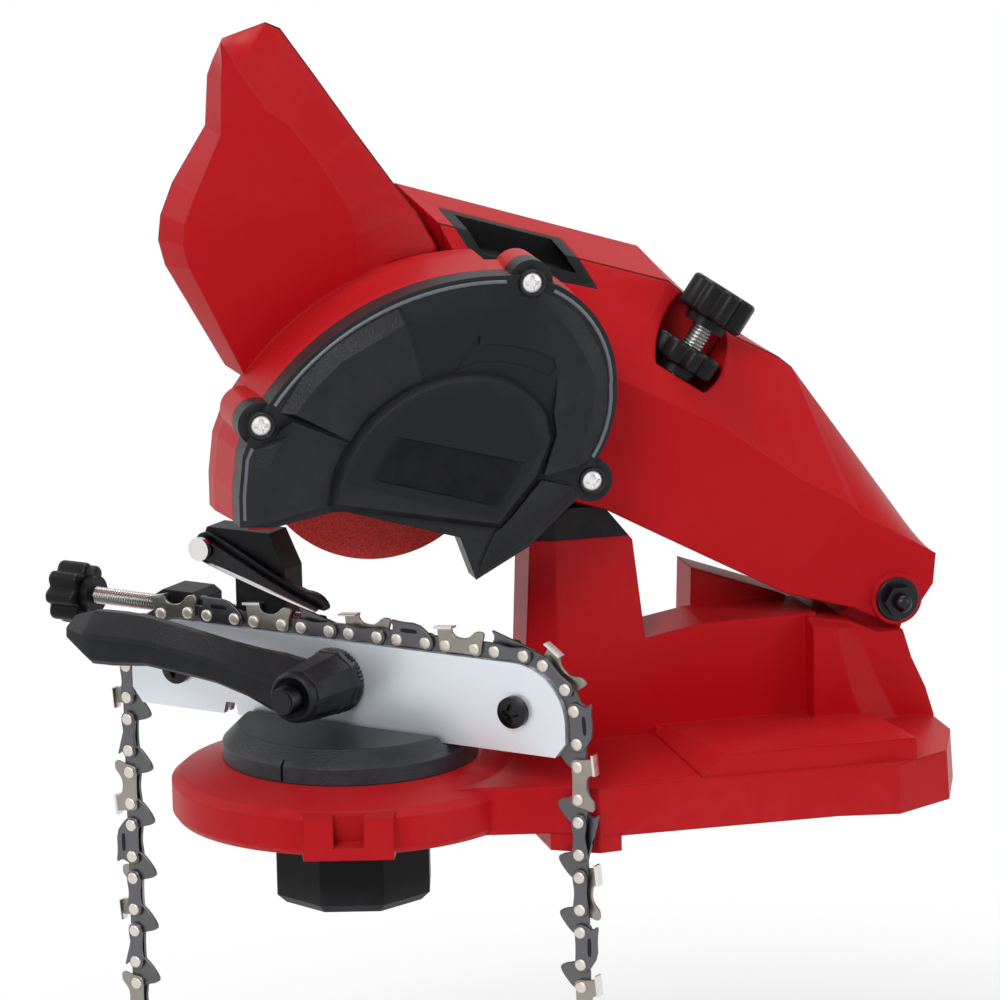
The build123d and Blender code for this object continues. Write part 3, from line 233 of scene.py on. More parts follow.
def edge_wear():
    """Lighter, rubbed edges: pointed places of the surface, broken up by noise."""
    group, start, end = new_group(
        "Edge wear", {"Colour": (0.5, 0.0, 0.0, 1.0), "Worn colour": (0.7, 0.2, 0.2, 1.0),
                      "Amount": 0.5}, {"Colour": 4})
    pointed = add_node(group, "MapRange", {
        "Value": add_node(group, "NewGeometry").outputs["Pointiness"],
        "From Min": 0.52, "From Max": 0.60})
    broken = combine(group, "MULTIPLY", pointed.outputs["Result"], noise(group, 160.0, 5.0))
    share = combine(group, "MULTIPLY", broken, start["Amount"], use_clamp=True)
    feed(group, end,
         {"Colour": mix_colours(group, share, start["Colour"], start["Worn colour"])})
    return group


def brushed_lines():
    """Long fine scratches along one direction, for rolled or ground steel."""
    group, start, end = new_group(
        "Brushed lines", {"Stretch": (8.0, 8.0, 900.0), "Depth": 0.00001, "Roughness": 0.25},
        {"Normal": 3, "Roughness": 1})
    stretched = over_object(group, "VectorMath", {1: start["Stretch"]}, operation="MULTIPLY")
    lines = add_node(group, "TexNoise", {"Vector": stretched.outputs[0], "Scale": 1.0,
                                         "Detail": 6.0}).outputs["Fac"]
    bump = add_node(group, "Bump", {"Strength": 1.0, "Distance": start["Depth"],
                                    "Height": lines})
    feed(group, end, {"Normal": bump.outputs["Normal"],
                      "Roughness": combine(group, "MULTIPLY_ADD", lines, 0.18,
                                           start["Roughness"])})
    return group


def settled_dust():
    """Thin dust on what faces up."""
    group, start, end = new_group(
        "Settled dust", {"Colour": (0.1, 0.1, 0.1, 1.0), "Dust colour": (0.4, 0.36, 0.33, 1.0),
                         "Amount": 0.06}, {"Colour": 4})
    facing = add_node(group, "SeparateXYZ", {0: add_node(group, "NewGeometry").outputs["Normal"]})
    up = combine(group, "MULTIPLY", facing.outputs["Z"], noise(group, 60.0, 6.0),
                 use_clamp=True)
    share = combine(group, "MULTIPLY", up, start["Amount"], use_clamp=True)
    feed(group, end,
         {"Colour": mix_colours(group, share, start["Colour"], start["Dust colour"])})
    return group


def parting_line():
    """Dark fine groove where two housing halves meet, at one place along y."""
    group, start, end = new_group(
        "Parting line", {"Colour": (0.5, 0.0, 0.0, 1.0), "Place": 0.0, "Half width": 0.0003,
                         "Darkness": 0.75}, {"Colour": 4})
    place = over_object(group, "SeparateXYZ").outputs["Y"]
    away = combine(group, "ABSOLUTE", combine(group, "SUBTRACT", place, start["Place"]))
    near = combine(group, "LESS_THAN", away, start["Half width"])
    share = combine(group, "MULTIPLY", near, start["Darkness"])
    feed(group, end,
         {"Colour": mix_colours(group, share, start["Colour"], (0.02, 0.0, 0.0, 1))})
    return group


# ------------------------------------------------------------------ materials
def new_material(name):
    """Material with a Principled BSDF: returns it, its tree and the shader."""
    material = bpy.data.materials.new(name)
    material.use_nodes = True
    tree = material.node_tree
    return material, tree, tree.nodes["Principled BSDF"]


def plastic(name, groups, colour, roughness, depth, scale, wear, worn, specular,
            edge_round=0.0, parting=None):
    """Moulded plastic: grain, rubbed edges, a little dust, and a parting line if it has one."""
    material, tree, shader = new_material(name)
    grain = place_group(tree, groups["grain"],
                        {"Scale": scale, "Depth": depth, "Roughness": roughness})
    last = place_group(tree, groups["wear"], {"Colour": (*colour, 1), "Worn colour": (*worn, 1),
                                              "Amount": wear})
    last = place_group(tree, groups["dust"], {"Colour": last.outputs["Colour"], "Amount": 0.05})
    if parting is not None:
        last = place_group(tree, groups["line"],
                           {"Colour": last.outputs["Colour"], "Place": parting})
    if edge_round:
        rounding = add_node(tree, "Bevel", {"Radius": edge_round}, samples=6)
        feed(tree, grain, {"Normal": rounding.outputs["Normal"]})
    feed(tree, shader, {"Base Color": last.outputs["Colour"], "Normal": grain.outputs["Normal"],
                        "Roughness": grain.outputs["Roughness"],
                        "Specular IOR Level": specular})
    return material


def metal_of(name, groups, into, share_of, first, second, metal):
    """Metal with fine lines, whose colour goes from the first to the second by a share."""
    material, tree, shader = new_material(name)
    lines = place_group(tree, groups["lines"], into).outputs
    feed(tree, shader, {
        "Base Color": mix_colours(tree, share_of(tree), (*first, 1), (*second, 1)),
        "Normal": lines["Normal"], "Roughness": lines["Roughness"], "Metallic": metal})
    return material


def steel(name, groups, colour, roughness, stretch, depth=0.00001, tint=(0.5, 0.5, 0.5),
          metal=1.0):
    """Metal with fine lines along one direction and cloudy plating."""
    return metal_of(name, groups, {"Stretch": stretch, "Depth": depth, "Roughness": roughness},
                    lambda tree: combine(tree, "MULTIPLY", noise(tree, 45.0, 4.0), 0.45),
                    colour, tint, metal)


def threaded(name, groups, colour, groove_shade):
    """Plated thread with painted shade: darker toward the bottom of its grooves."""
    return metal_of(name, groups, {"Stretch": (90.0, 90.0, 400.0), "Roughness": 0.2},
                    lambda tree: add_node(tree, "Attribute",
                                          attribute_name="groove").outputs["Fac"],
                    colour, groove_shade, 1.0)


def grit(name):
    """Bonded abrasive: raised grains in shades between two reds."""
    material, tree, shader = new_material(name)
    cells = over_object(tree, "TexVoronoi", {"Scale": 2600.0}).outputs
    split = add_node(tree, "SeparateColor", {0: cells["Color"]})
    ramp = add_node(tree, "ValToRGB", {"Fac": split.outputs[0]})
    ramp.color_ramp.elements[0].color = (0.36, 0.012, 0.010, 1)
    ramp.color_ramp.elements[1].color = (0.72, 0.040, 0.032, 1)
    bump = add_node(tree, "Bump", {"Strength": 1.0, "Distance": 0.00012,
                                   "Height": cells["Distance"]})
    feed(tree, shader, {"Base Color": ramp.outputs["Color"], "Normal": bump.outputs["Normal"],
                        "Roughness": 0.75})
    return material


def make_materials(settings):
    """All materials, by the record's slot names and a few more."""
    groups = {"grain": moulded_grain(), "wear": edge_wear(), "lines": brushed_lines(),
              "dust": settled_dust(), "line": parting_line()}
    red, black = tuple(settings.red), tuple(settings.black)
    moulded_red = (red, 0.4, settings.grain_depth, settings.grain_size, 0.3, (0.62, 0.05, 0.05),
                   0.13, settings.edge_round)
    worn = (0.06, 0.06, 0.065)
    # colour, roughness, grain depth and size, wear, worn colour, specular, edge round, line
    plastics = (
        ("red_housing", "Red housing", *moulded_red, -0.038),
        ("red_base", "Red base", *moulded_red),
        ("black_plastic", "Black plastic", black, 0.42, 0.00008, 1400.0, 0.5, worn, 0.12,
         0.0006),
        ("guard_plastic", "Guard plastic", (0.008, 0.009, 0.012), 0.4, 0.0002, 1700.0, 0.5,
         (0.05, 0.05, 0.055), 0.2, 0.0006),
        # the rim bead's finish is the guard plastic lightened, a painted highlight line
        ("guard_edge_highlight", "Guard edge highlight", (0.10, 0.11, 0.13), 0.3, 0.00002, 1700.0, 0.5,
         (0.2, 0.2, 0.22), 0.6),
        ("turntable_plastic", "Turntable plastic", (0.006, 0.008, 0.012), 0.36, 0.0002, 1700.0,
         0.5, (0.08, 0.085, 0.095), 0.3, 0.0006),
        ("knob", "Knob plastic", black, 0.34, 0.00004, 1600.0, 0.4, worn, 0.16),
        ("lever_plastic", "Lever plastic", (0.004, 0.005, 0.008), 0.34, 0.00012, 1600.0, 0.5,
         (0.09, 0.09, 0.1), 0.18, 0.0009),
        ("plate_label", "Bare plate", (0.004, 0.0045, 0.006), 0.3, 0.00001, 1500.0, 0.2,
         (0.1, 0.1, 0.11), 0.08))
    even = (300.0, 300.0, 300.0)
    # colour, roughness, stretch of the lines, their depth, tint, metallic
    steels = (
        ("screw", "Screw zinc", (0.92, 0.91, 0.90), 0.3, (60.0, 60.0, 60.0), 0.00001,
         (0.6, 0.6, 0.6)),
        ("chain_strap", "Strap steel", (0.17, 0.17, 0.19), 0.26, even, 0.00002,
         (0.04, 0.04, 0.05)),
        ("rivet", "Rivet", (0.80, 0.75, 0.68), 0.36, (200.0, 200.0, 200.0), 0.00001,
         (0.5, 0.45, 0.38)),
        ("plate_steel", "Plated sheet", (0.86, 0.91, 0.96), 0.26, (30.0, 30.0, 500.0), 0.000004,
         (0.74, 0.79, 0.85), 0.6),
        ("chrome", "Bright plating", (0.82, 0.81, 0.79), 0.12, (90.0, 90.0, 400.0)),
        ("black_steel", "Black oxide", (0.025, 0.025, 0.028), 0.28, (60.0, 60.0, 200.0),
         0.00001, (0.05, 0.05, 0.055)),
        ("brass", "Brass", (0.72, 0.52, 0.22), 0.25, (60.0, 60.0, 300.0)),
        ("iron_core", "Core", (0.18, 0.15, 0.13), 0.5, (20.0, 900.0, 20.0)),
        ("chain_steel", "Chain steel", (0.16, 0.16, 0.165), 0.3, even, 0.00002,
         (0.07, 0.065, 0.06)),
        ("chain_bright", "Chain chrome", (0.80, 0.79, 0.77), 0.2, even, 0.00002,
         (0.5, 0.48, 0.45)),
        ("chain_body", "Cutter bronze", (0.40, 0.37, 0.33), 0.28, even, 0.00002,
         (0.10, 0.09, 0.08)))
    made = {key: plastic(name, groups, *rest) for key, name, *rest in plastics}
    made.update((key, steel(name, groups, *rest)) for key, name, *rest in steels)
    # the second colour is painted shade at the bottom of the thread's grooves
    made["thread"] = threaded("Thread zinc", groups, (0.85, 0.84, 0.81), (0.06, 0.06, 0.06))
    made["wheel_grit"] = grit("Wheel grit")
    return made


# ------------------------------------------------------------------ stage
SENSOR_WIDTH = 36.0
VIEW_END = 50.0
FLOOR_GAP = 0.0005
LAMP_AIM = Vector((0.0, 0.0, 0.1))
# name, place, width in metres, power in watts
LAMPS = (("Key", (-1.1, -1.6, 1.5), 0.9, 24.0), ("Fill", (1.6, -1.3, 0.6), 0.9, 9.0),
         ("Top", (0.1, 0.3, 1.9), 1.0, 17.0), ("Rim", (-1.5, 0.9, 0.9), 0.8, 5.0))


def add_object(name, data):
    """New object in the scene."""
    item = bpy.data.objects.new(name, data)
    bpy.context.scene.collection.objects.link(item)
    return item


def seen_rays(tree):
    """Socket that is 1 for what the camera sees, directly, mirrored or through glass."""
    rays = add_node(tree, "LightPath").outputs
    mirrored = combine(tree, "MAXIMUM", rays["Is Camera Ray"], rays["Is Glossy Ray"])
    return combine(tree, "MAXIMUM", mirrored, rays["Is Transmission Ray"])


def make_camera(settings):
    """Camera at the place and in the directions of the settings."""
    right = Vector(settings.camera_right).normalized()
    back = Vector(settings.camera_back).normalized()
    turn = Matrix((right, back.cross(right), back)).transposed().to_4x4()
    data = bpy.data.cameras.new("Camera")
    data.lens = settings.lens
    data.sensor_width = SENSOR_WIDTH
    data.clip_end = VIEW_END
    camera = add_object("Camera", data)
    camera.matrix_world = Matrix.Translation(Vector(settings.camera_at)) @ turn
    bpy.context.scene.camera = camera


def make_floor(settings):
    """Floor that shows light and shadow near the object and is plain white far from it."""
    side = settings.floor_size
    mesh = bpy.data.meshes.new("Floor")
    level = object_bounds()[0][2] - FLOOR_GAP
    mesh.from_pydata([(-side, -side, level), (side, -side, level), (side, side, level),
                      (-side, side, level)], [], [(0, 1, 2, 3)])
    floor = add_object("Floor", mesh)
    floor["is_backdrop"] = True
    material, tree, shader = new_material("Floor")
    white = (*settings.floor_colour, 1)
    feed(tree, shader, {"Base Color": white, "Roughness": 0.9, "Specular IOR Level": 0.0})
    away = over_object(tree, "VectorMath", operation="LENGTH").outputs["Value"]
    far = add_node(tree, "MapRange", {"Value": away, "From Min": settings.floor_near,
                                      "From Max": settings.floor_far},
                   interpolation_type="SMOOTHSTEP")
    share = combine(tree, "MULTIPLY", seen_rays(tree), far.outputs["Result"])
    plain = add_node(tree, "Emission", {"Color": white, "Strength": 1.0})
    mix = add_node(tree, "MixShader", {0: share, 1: shader.outputs[0], 2: plain.outputs[0]})
    feed(tree, tree.nodes["Material Output"], {"Surface": mix.outputs[0]})
    mesh.materials.append(material)


def make_room():
    """Room that lights the object dimly and looks white to the camera and in mirrors."""
    world = bpy.data.worlds.new("Room")
    bpy.context.scene.world = world
    world.use_nodes = True
    tree = world.node_tree
    light = tree.nodes["Background"]
    feed(tree, light, {"Color": (0.9, 0.93, 1.0, 1), "Strength": 0.2})
    seen = add_node(tree, "Background", {"Strength": 1.0})
    mix = add_node(tree, "MixShader",
                   {0: seen_rays(tree), 1: light.outputs[0], 2: seen.outputs[0]})
    feed(tree, tree.nodes["World Output"], {"Surface": mix.outputs[0]})


def make_stage(settings):
    """Camera, floor, room light and soft lamps."""
    make_camera(settings)
    make_floor(settings)
    make_room()
    for name, place, width, power in LAMPS:
        data = bpy.data.lights.new(name, "AREA")
        data.size = width
        data.energy = power
        turn = (LAMP_AIM - Vector(place)).to_track_quat("-Z", "Y").to_matrix().to_4x4()
        add_object(name, data).matrix_world = Matrix.Translation(Vector(place)) @ turn
    bpy.context.scene.view_settings.view_transform = "Standard"


# ------------------------------------------------------------------ frames, in millimetres
TABLE_AXIS = np.array([-130.0, -60.0, 0.0])
RIGHT = np.array([1.0, 0.0, 0.0])
FAR = np.array([0.0, 1.0, 0.0])
NEAR = np.array([0.0, -1.0, 0.0])
UP = np.array([0.0, 0.0, 1.0])
RAIL_TURN = math.radians(-45.0)
FEED_OUT, FEED_Z = -10.0, 61.0
ROD_LEAN = math.radians(34.5)
ROD_PLACE = (135.5, 13.0, 164.0)


def side_frame(x, y, z):
    """Axes of the head and base: x right, z up, and out toward the guard's side."""
    return TABLE_AXIS + (x, y, z), RIGHT, UP, NEAR


def vise_frame(along, out, z):
    """Axes of the vise: along the rail, up, and out in front of the plates."""
    run = np.array([math.cos(RAIL_TURN), math.sin(RAIL_TURN), 0.0])
    front = np.array([math.sin(RAIL_TURN), -math.cos(RAIL_TURN), 0.0])
    return TABLE_AXIS + run * along + front * out + (0, 0, z), run, UP, front


def feed_frame(along):
    """Axes of the feed screw: its outward end is the third axis."""
    origin, run, up, front = vise_frame(along, FEED_OUT, FEED_Z)
    return origin, up, -front, -run


def rod_frame(depth):
    """Axes of the depth rod: the third one points out of the head along the rod."""
    along = np.array([math.sin(ROD_LEAN), 0.0, math.cos(ROD_LEAN)])
    return TABLE_AXIS + ROD_PLACE + along * depth, FAR, np.cross(along, FAR), along


def put(points, frame):
    """Points given in a frame's axes, in millimetres, as points of the scene in metres."""
    origin, first, second, third = frame
    return (origin + points[..., 0:1] * first + points[..., 1:2] * second
            + points[..., 2:3] * third) * MM


# ------------------------------------------------------------------ shapes
def new_piece(name, mesh, finish, sharp):
    """Object of a mesh with its material, smooth but for edges sharper than an angle."""
    mesh.shade_smooth()
    mesh.set_sharp_from_angle(angle=math.radians(sharp))
    mesh.materials.append(MATERIALS[finish])
    return add_object(name, mesh)


def ring_piece(name, rings, finish, body, sharp=35.0):
    """Closed bodies from stacked rings.

    rings has the shape (copies, levels, corners, 3).  Corner i of level j is joined to
    corner i + 1 and to level j + 1, and the first and last levels are closed by a face.
    The faces are turned outward by the flow through the first copy's sides.
    """
    rings = np.asarray(rings)
    if rings.ndim == 3:
        rings = rings[None]
    copies, levels, corners = rings.shape[:3]
    index = np.arange(copies * levels * corners).reshape(copies, levels, corners)
    after = np.roll(index, -1, axis=2)
    quads = np.stack([index[:, :-1], after[:, :-1], after[:, 1:], index[:, 1:]],
                     axis=-1).reshape(-1, 4)
    points = rings.reshape(-1, 3)
    sides = points[quads[:(levels - 1) * corners]]
    middle = rings[0].reshape(-1, 3).mean(axis=0)
    outward = (np.cross(sides[:, 1] - sides[:, 0], sides[:, 3] - sides[:, 0])
               * (sides.mean(axis=1) - middle)).sum()
    faces = quads.tolist() + index[:, 0, ::-1].tolist() + index[:, -1].tolist()
    if outward < 0:
        faces = [face[::-1] for face in faces]
    mesh = bpy.data.meshes.new(name)
    mesh.from_pydata(points, [], faces)
    piece = new_piece(name, mesh, finish, sharp)
    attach(piece, body)
    return piece


def cut_corners(outline, times=1):
    """Rounder outline: each corner becomes two points, a quarter along its edges."""
    for _ in range(times):
        after = np.roll(outline, -1, axis=0)
        outline = np.stack([outline * 0.75 + after * 0.25, outline * 0.25 + after * 0.75],
                           axis=1).reshape(-1, 2)
    return outline


def stack(outline, levels):
    """Rings of an outline: levels are (inset, height), inset along the outline's normal."""
    after = np.roll(outline, -1, axis=0)
    along = after - np.roll(outline, 1, axis=0)
    along /= np.linalg.norm(along, axis=1)[:, None]
    normal = np.stack([along[:, 1], -along[:, 0]], axis=1)
    area = (outline[:, 0] * after[:, 1] - after[:, 0] * outline[:, 1]).sum()
    normal *= 1.0 if area > 0 else -1.0
    levels = np.asarray(levels, dtype=float)
    flat = outline[None] - levels[:, 0, None, None] * normal[None]
    height = np.broadcast_to(levels[:, 1, None, None], (*flat.shape[:2], 1))
    return np.concatenate([flat, height], axis=2)


def round_rings(reach, angle, level):
    """Rings of the points (reach cos angle, reach sin angle, level)."""
    reach, angle, level = np.broadcast_arrays(reach, angle, level)
    return np.stack([reach * np.cos(angle), reach * np.sin(angle), level], axis=-1)


def full_turn(count):
    """Angles of a number of points spread evenly round a circle."""
    return np.linspace(0, 2 * math.pi, count, endpoint=False)


def turned(profile, around=48):
    """Rings of a turned piece: profile holds (radius, height)."""
    profile = np.asarray(profile, dtype=float)
    return round_rings(profile[:, :1], full_turn(around), profile[:, 1:])


def thread_rings(radius, pitch, depth, length, around=24, steps=6):
    """Screw thread: the radius falls by the depth in a V once per pitch, and the V moves on
    by one pitch per turn; the two ends are chamfered."""
    heights = np.linspace(0, length, int(length / pitch * steps) + 1)[:, None]
    angle = full_turn(around)[None]
    phase = (heights / pitch - angle / (2 * math.pi)) % 1.0
    groove = 1.0 - np.abs(2.0 * phase - 1.0)
    end = np.minimum(np.minimum(heights, length - heights) / (2 * depth), 1.0)
    return round_rings(radius - depth * groove - depth * (1.0 - end), angle, heights)


def mark_grooves(piece, rings):
    """Stores how deep each point of a thread lies below its crest, from 0 to 1, for the painted
    shade at the bottom of the grooves.

    The full depth is taken past the chamfered ends, six levels long."""
    reach = np.linalg.norm(rings[..., :2], axis=2)
    share = (reach.max() - reach) / np.ptp(reach[6:-6])
    layer = piece.data.attributes.new("groove", "FLOAT", "POINT")
    layer.data.foreach_set("value", np.clip(share, 0, 1).ravel())


def lobed_rings(radius, lobes, dip, height, foot, around=96, edge=1.6, foot_depth=3.0,
                dish=0.7):
    """Star knob: the radius is radius - dip (0.5 - 0.5 cos(lobes angle))^1.6, less along a
    quarter circle toward the top and bottom edges; a dish is sunk in the top and a narrower
    foot stands below."""
    angle = full_turn(around)
    outline = radius - dip * (0.5 - 0.5 * np.cos(lobes * angle)) ** 1.6
    quarter = np.linspace(0, math.pi / 2, 6)
    sine, cosine = edge * (1 - np.sin(quarter)), edge * (1 - np.cos(quarter))
    rim = np.concatenate([np.stack([sine, cosine], axis=1),
                          np.stack([cosine, height - sine], axis=1)])
    top = np.array([(0.62, height), (0.56, height - dish), (0.40, height - dish)])
    reach = np.concatenate([np.full((2, around), foot), outline - rim[:, :1],
                            np.broadcast_to(radius * top[:, :1], (3, around))])
    level = np.concatenate([[-foot_depth, 0.0], rim[:, 1], top[:, 1]])
    return round_rings(reach, angle, level[:, None])


def driven_head(radius, height, recess, arms, depth, around=60):
    """Screw head: a dome whose height falls in a star-shaped recess.

    The recess is a number of arms round the middle; its depth fades over a third of a
    millimetre at the star's edge."""
    reach = np.concatenate([[radius, radius], np.linspace(radius * 0.97, 0.15, 16)])[:, None]
    angle = full_turn(around)[None]
    dome = height * (1 - 0.35 * (reach / radius) ** 2)
    edge = recess * (0.52 + 0.48 * (0.5 + 0.5 * np.cos(arms * angle)) ** 1.5)
    level = dome - depth * np.clip((edge - reach) / 0.3, 0, 1)
    level[0] = 0.0
    return round_rings(reach, angle, level)


# ------------------------------------------------------------------ chain, in millimetres
CORNER_R = 23.4
SIDE_T = 89.85
RIVET_Z = 62.2
LINK_PAIR = 19.05
STRAP_SPAN = 11.2
DRIVE_SPAN = 7.85
LINK_COUNT = 38
FIRST_LINK = -55.6
STRAP_END_R = 2.8
STRAP_WAIST = 0.6
BEVEL = 0.18
CHAIN_NODES = [kind + "_" + run for kind in ("drive_links", "tie_straps", "cutters")
               for run in ("top", "right", "left", "bend")] + ["chain_rivets"]


def chain_point(s):
    """Points of the chain's middle line at lengths s from the rail's middle: a straight top,
    two quarter bends, two straight drops and the half circle that hangs below."""
    loop = LINK_COUNT * LINK_PAIR
    top = SIDE_T - CORNER_R
    quarter = CORNER_R * math.pi / 2
    drop = (loop - 2 * top - 2 * quarter - math.pi * SIDE_T) / 2
    corner_z = RIVET_Z - CORNER_R
    low = corner_z - drop
    s = np.mod(s, loop)
    a = s - top
    b = a - quarter
    c = b - drop
    d = c - math.pi * SIDE_T
    e = d - drop
    g = e - quarter
    runs = [s < top, a < quarter, b < drop, c < math.pi * SIDE_T, d < drop, e < quarter]
    x = np.select(runs, [s, top + CORNER_R * np.sin(a / CORNER_R), SIDE_T + 0 * s,
                         SIDE_T * np.cos(c / SIDE_T), -SIDE_T + 0 * s,
                         -top - CORNER_R * np.cos(e / CORNER_R)], g - top)
    z = np.select(runs, [RIVET_Z + 0 * s, corner_z + CORNER_R * np.cos(a / CORNER_R),
                         corner_z - b, low - SIDE_T * np.sin(c / SIDE_T), low + d,
                         corner_z + CORNER_R * np.sin(e / CORNER_R)], RIVET_Z)
    return x, z


def along_chain(rings, starts, span):
    """Copies of a link's rings with its two ends on the chain's line."""
    x0, z0 = chain_point(starts)
    x1, z1 = chain_point(starts + span)
    angle = np.arctan2(z1 - z0, x1 - x0)[:, None, None]
    flat_x = rings[None, ..., 0] * np.cos(angle) - rings[None, ..., 1] * np.sin(angle)
    flat_z = rings[None, ..., 0] * np.sin(angle) + rings[None, ..., 1] * np.cos(angle)
    flat_x = flat_x + ((x0 + x1) / 2)[:, None, None]
    flat_z = flat_z + ((z0 + z1) / 2)[:, None, None]
    depth = np.broadcast_to(rings[None, ..., 2], flat_x.shape)
    return put(np.stack([flat_x, flat_z, depth], axis=-1), vise_frame(0, 0, 0))


def strap_outline():
    """Side plate: two round ends joined by a waist that narrows as a cosine."""
    reach = STRAP_SPAN / 2
    x = (reach + STRAP_END_R) * np.cos(np.linspace(math.pi, 0, 17))
    past = np.clip(np.abs(x) - reach, 0, STRAP_END_R)
    narrow = 0.5 + 0.5 * np.cos(math.pi * np.clip(x / reach, -1, 1))
    half = np.where(np.abs(x) > reach, np.sqrt(np.maximum(STRAP_END_R ** 2 - past ** 2, 0)),
                    STRAP_END_R - STRAP_WAIST * narrow)
    upper = np.stack([x, half], axis=1)
    lower = np.stack([x[::-1], -half[::-1]], axis=1)[1:-1]
    return np.concatenate([upper, lower])[::-1]


def chain_plates(name, outline, starts, side, finish):
    """Flat side plates with bevelled faces, on one side of the drive links."""
    inner, outer, step = 0.68 * side, 1.9 * side, BEVEL * side
    levels = [(BEVEL, inner), (0, inner + step), (0, outer - step), (BEVEL, outer)]
    ring_piece(name, along_chain(stack(outline, levels), starts, STRAP_SPAN), finish,
               "vise")


def build_chain():
    """Drive links, tie straps, humped guard straps, cutters with top plates, and rivets.

    Every fourth strap is a cutter and the one before it a guard strap; the two sides take
    turns."""
    count = np.arange(LINK_COUNT)
    starts = FIRST_LINK + count * LINK_PAIR
    link = DRIVE_SPAN / 2
    tang = cut_corners(np.array([(-link - 2.4, -1), (-link - 0.5, -2.6), (-3, -8.2), (-1, -8.8),
                                 (link - 0.4, -5.2), (link + 1.4, -2.6), (link + 2.4, 0),
                                 (link + 1, 2.6), (-link - 1, 2.6)]), 2)
    levels = [(BEVEL, -0.65), (0, -0.47), (0, 0.47), (BEVEL, 0.65)]
    ring_piece("chain_drive_links",
               along_chain(stack(tang, levels), starts + STRAP_SPAN, DRIVE_SPAN), "chain_steel",
               "vise")
    reach = STRAP_SPAN / 2
    cutter = cut_corners(np.array([(-reach - 2.6, -1.2), (-reach - 1.2, -2.8),
                                   (-reach + 1.7, -2.1), (reach - 1.7, -2.1),
                                   (reach + 1.2, -2.8), (reach + 2.6, -1.2), (reach + 2.9, 2),
                                   (reach + 3.9, 5.2), (reach + 2.9, 6.2), (reach + 0.4, 6.0),
                                   (reach - 1.2, 4.4), (2.2, 3.1), (-1.6, 3.3), (-3.0, 4.6),
                                   (-3.4, 6.6), (-reach - 2.9, 6.2), (-reach - 3.2, 5.2),
                                   (-reach - 2.6, 1)]))
    hump = cut_corners(np.array([(-reach - 2.8, -1.2), (-reach - 1.2, -2.8),
                                 (-reach + 1.7, -2.1), (reach - 1.7, -2.1),
                                 (reach + 1.2, -2.8), (reach + 2.8, -1.2), (reach + 2.8, 1.3),
                                 (reach + 0.8, 3.6), (2.4, 6.3), (-4.6, 6.2), (-7.4, 6.7),
                                 (-8.4, 6.2), (-6.9, 4.5), (-reach - 2.8, 1)]))
    # the far guard straps stay below the pawl's sloping underside
    low_hump = np.stack([hump[:, 0], np.minimum(hump[:, 1], 4.1 - 0.284 * hump[:, 0])], axis=1)
    slot = cut_corners(np.array([(-4.2, 3.4), (-3.6, 2.7), (2.0, 2.7), (2.6, 3.4), (2.0, 4.2),
                                 (-3.6, 4.2)]))
    plate = np.array([(-reach - 4.6, 5.2), (-3.2, 5.9), (-3.2, 6.8), (-reach - 4.6, 6.1)])
    for side, label, raised in ((1, "near", hump), (-1, "far", low_hump)):
        tooth = count % 4 == (1 if side == 1 else 3)
        guard = count % 4 == (0 if side == 1 else 2)
        chain_plates("chain_straps_" + label, strap_outline(), starts[~tooth & ~guard], side,
                     "chain_strap")
        chain_plates("chain_guard_straps_" + label, raised, starts[guard], side, "chain_strap")
        window = stack(slot, [(0, 1.5 * side), (0, 1.93 * side), (0.2, 1.95 * side)])
        ring_piece("chain_slots_" + label, along_chain(window, starts[guard], STRAP_SPAN),
                   "black_steel", "vise")
        chain_plates("chain_cutters_" + label, cutter, starts[tooth], side, "chain_body")
        levels = [(0, 2.0 * side), (0, 0), (0.12, -1.2 * side), (0.3, -1.6 * side)]
        ring_piece("chain_tooth_plates_" + label,
                   along_chain(stack(plate, levels), starts[tooth], STRAP_SPAN), "chain_bright",
                   "vise")
        rivet = turned([(2.1, 1.8 * side), (2.1, 2.3 * side), (1.8, 2.55 * side),
                        (1.1, 2.65 * side)], 14)
        both = np.concatenate([starts, starts + STRAP_SPAN])
        ring_piece("chain_rivet_heads_" + label, along_chain(rivet, both, 0.001), "rivet",
                   "vise", 50.0)


# ------------------------------------------------------------------ small pieces, in millimetres
PIVOT_X, PIVOT_Z = 192.8, 59.2
BOLT_END_Y, NUT_FACE_Y = -11.1, -4.66
GUARD_SCREWS = ((-33.6, 141.5), (59.6, 183.2), (79.0, 114.4))
GUARD_HEAD_Y, SLEEVE_FOOT_Y = -26.6, -25.6
GUIDE_SCREWS = (-67.0, 67.0)
GUIDE_OUT, GUIDE_Z = 3.3, 43.0
STUD_ALONG, STUD_Z = -3.0, 46.0
RING_TEETH = 48
TOOTH_VALLEY = 0.955
PIN_ALONG, PIN_Z = -56, 86


def build_threads():
    """Threaded depth rod and feed screw in place of their plain cylinders."""
    for name, node, radius, pitch, depth, length, frame in (
            ("depth_rod_thread", "depth_rod", 4.0, 1.25, 0.7, 84.0, rod_frame(-87.0)),
            ("feed_screw_thread", "feed_screw", 3.0, 1.0, 0.6, 99.0, feed_frame(-20.0))):
        rings = thread_rings(radius, pitch, depth, length)
        screw = ring_piece(name, put(rings, frame), "thread", node, 25.0)
        mark_grooves(screw, rings)
        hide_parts(node)


def build_knobs(settings):
    """Three star knobs with rounded lobes."""
    dip = settings.knob_dip / MM
    for name, frame, radius, height, body in (
            ("depth_knob", rod_frame(-7.0), 12.5, 12.0, "depth_knob"),
            ("depth_lock_knob", rod_frame(-25.7), 12.5, 8.0, "depth_lock_knob"),
            ("feed_knob", feed_frame(-112.0), 11.0, 12.0, "feed_screw")):
        rings = lobed_rings(radius, settings.knob_lobes, dip, height, radius * 0.6)
        knob = ring_piece(name + "_lobes", put(rings, frame), "knob", body,
                          30.0)
        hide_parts(name)


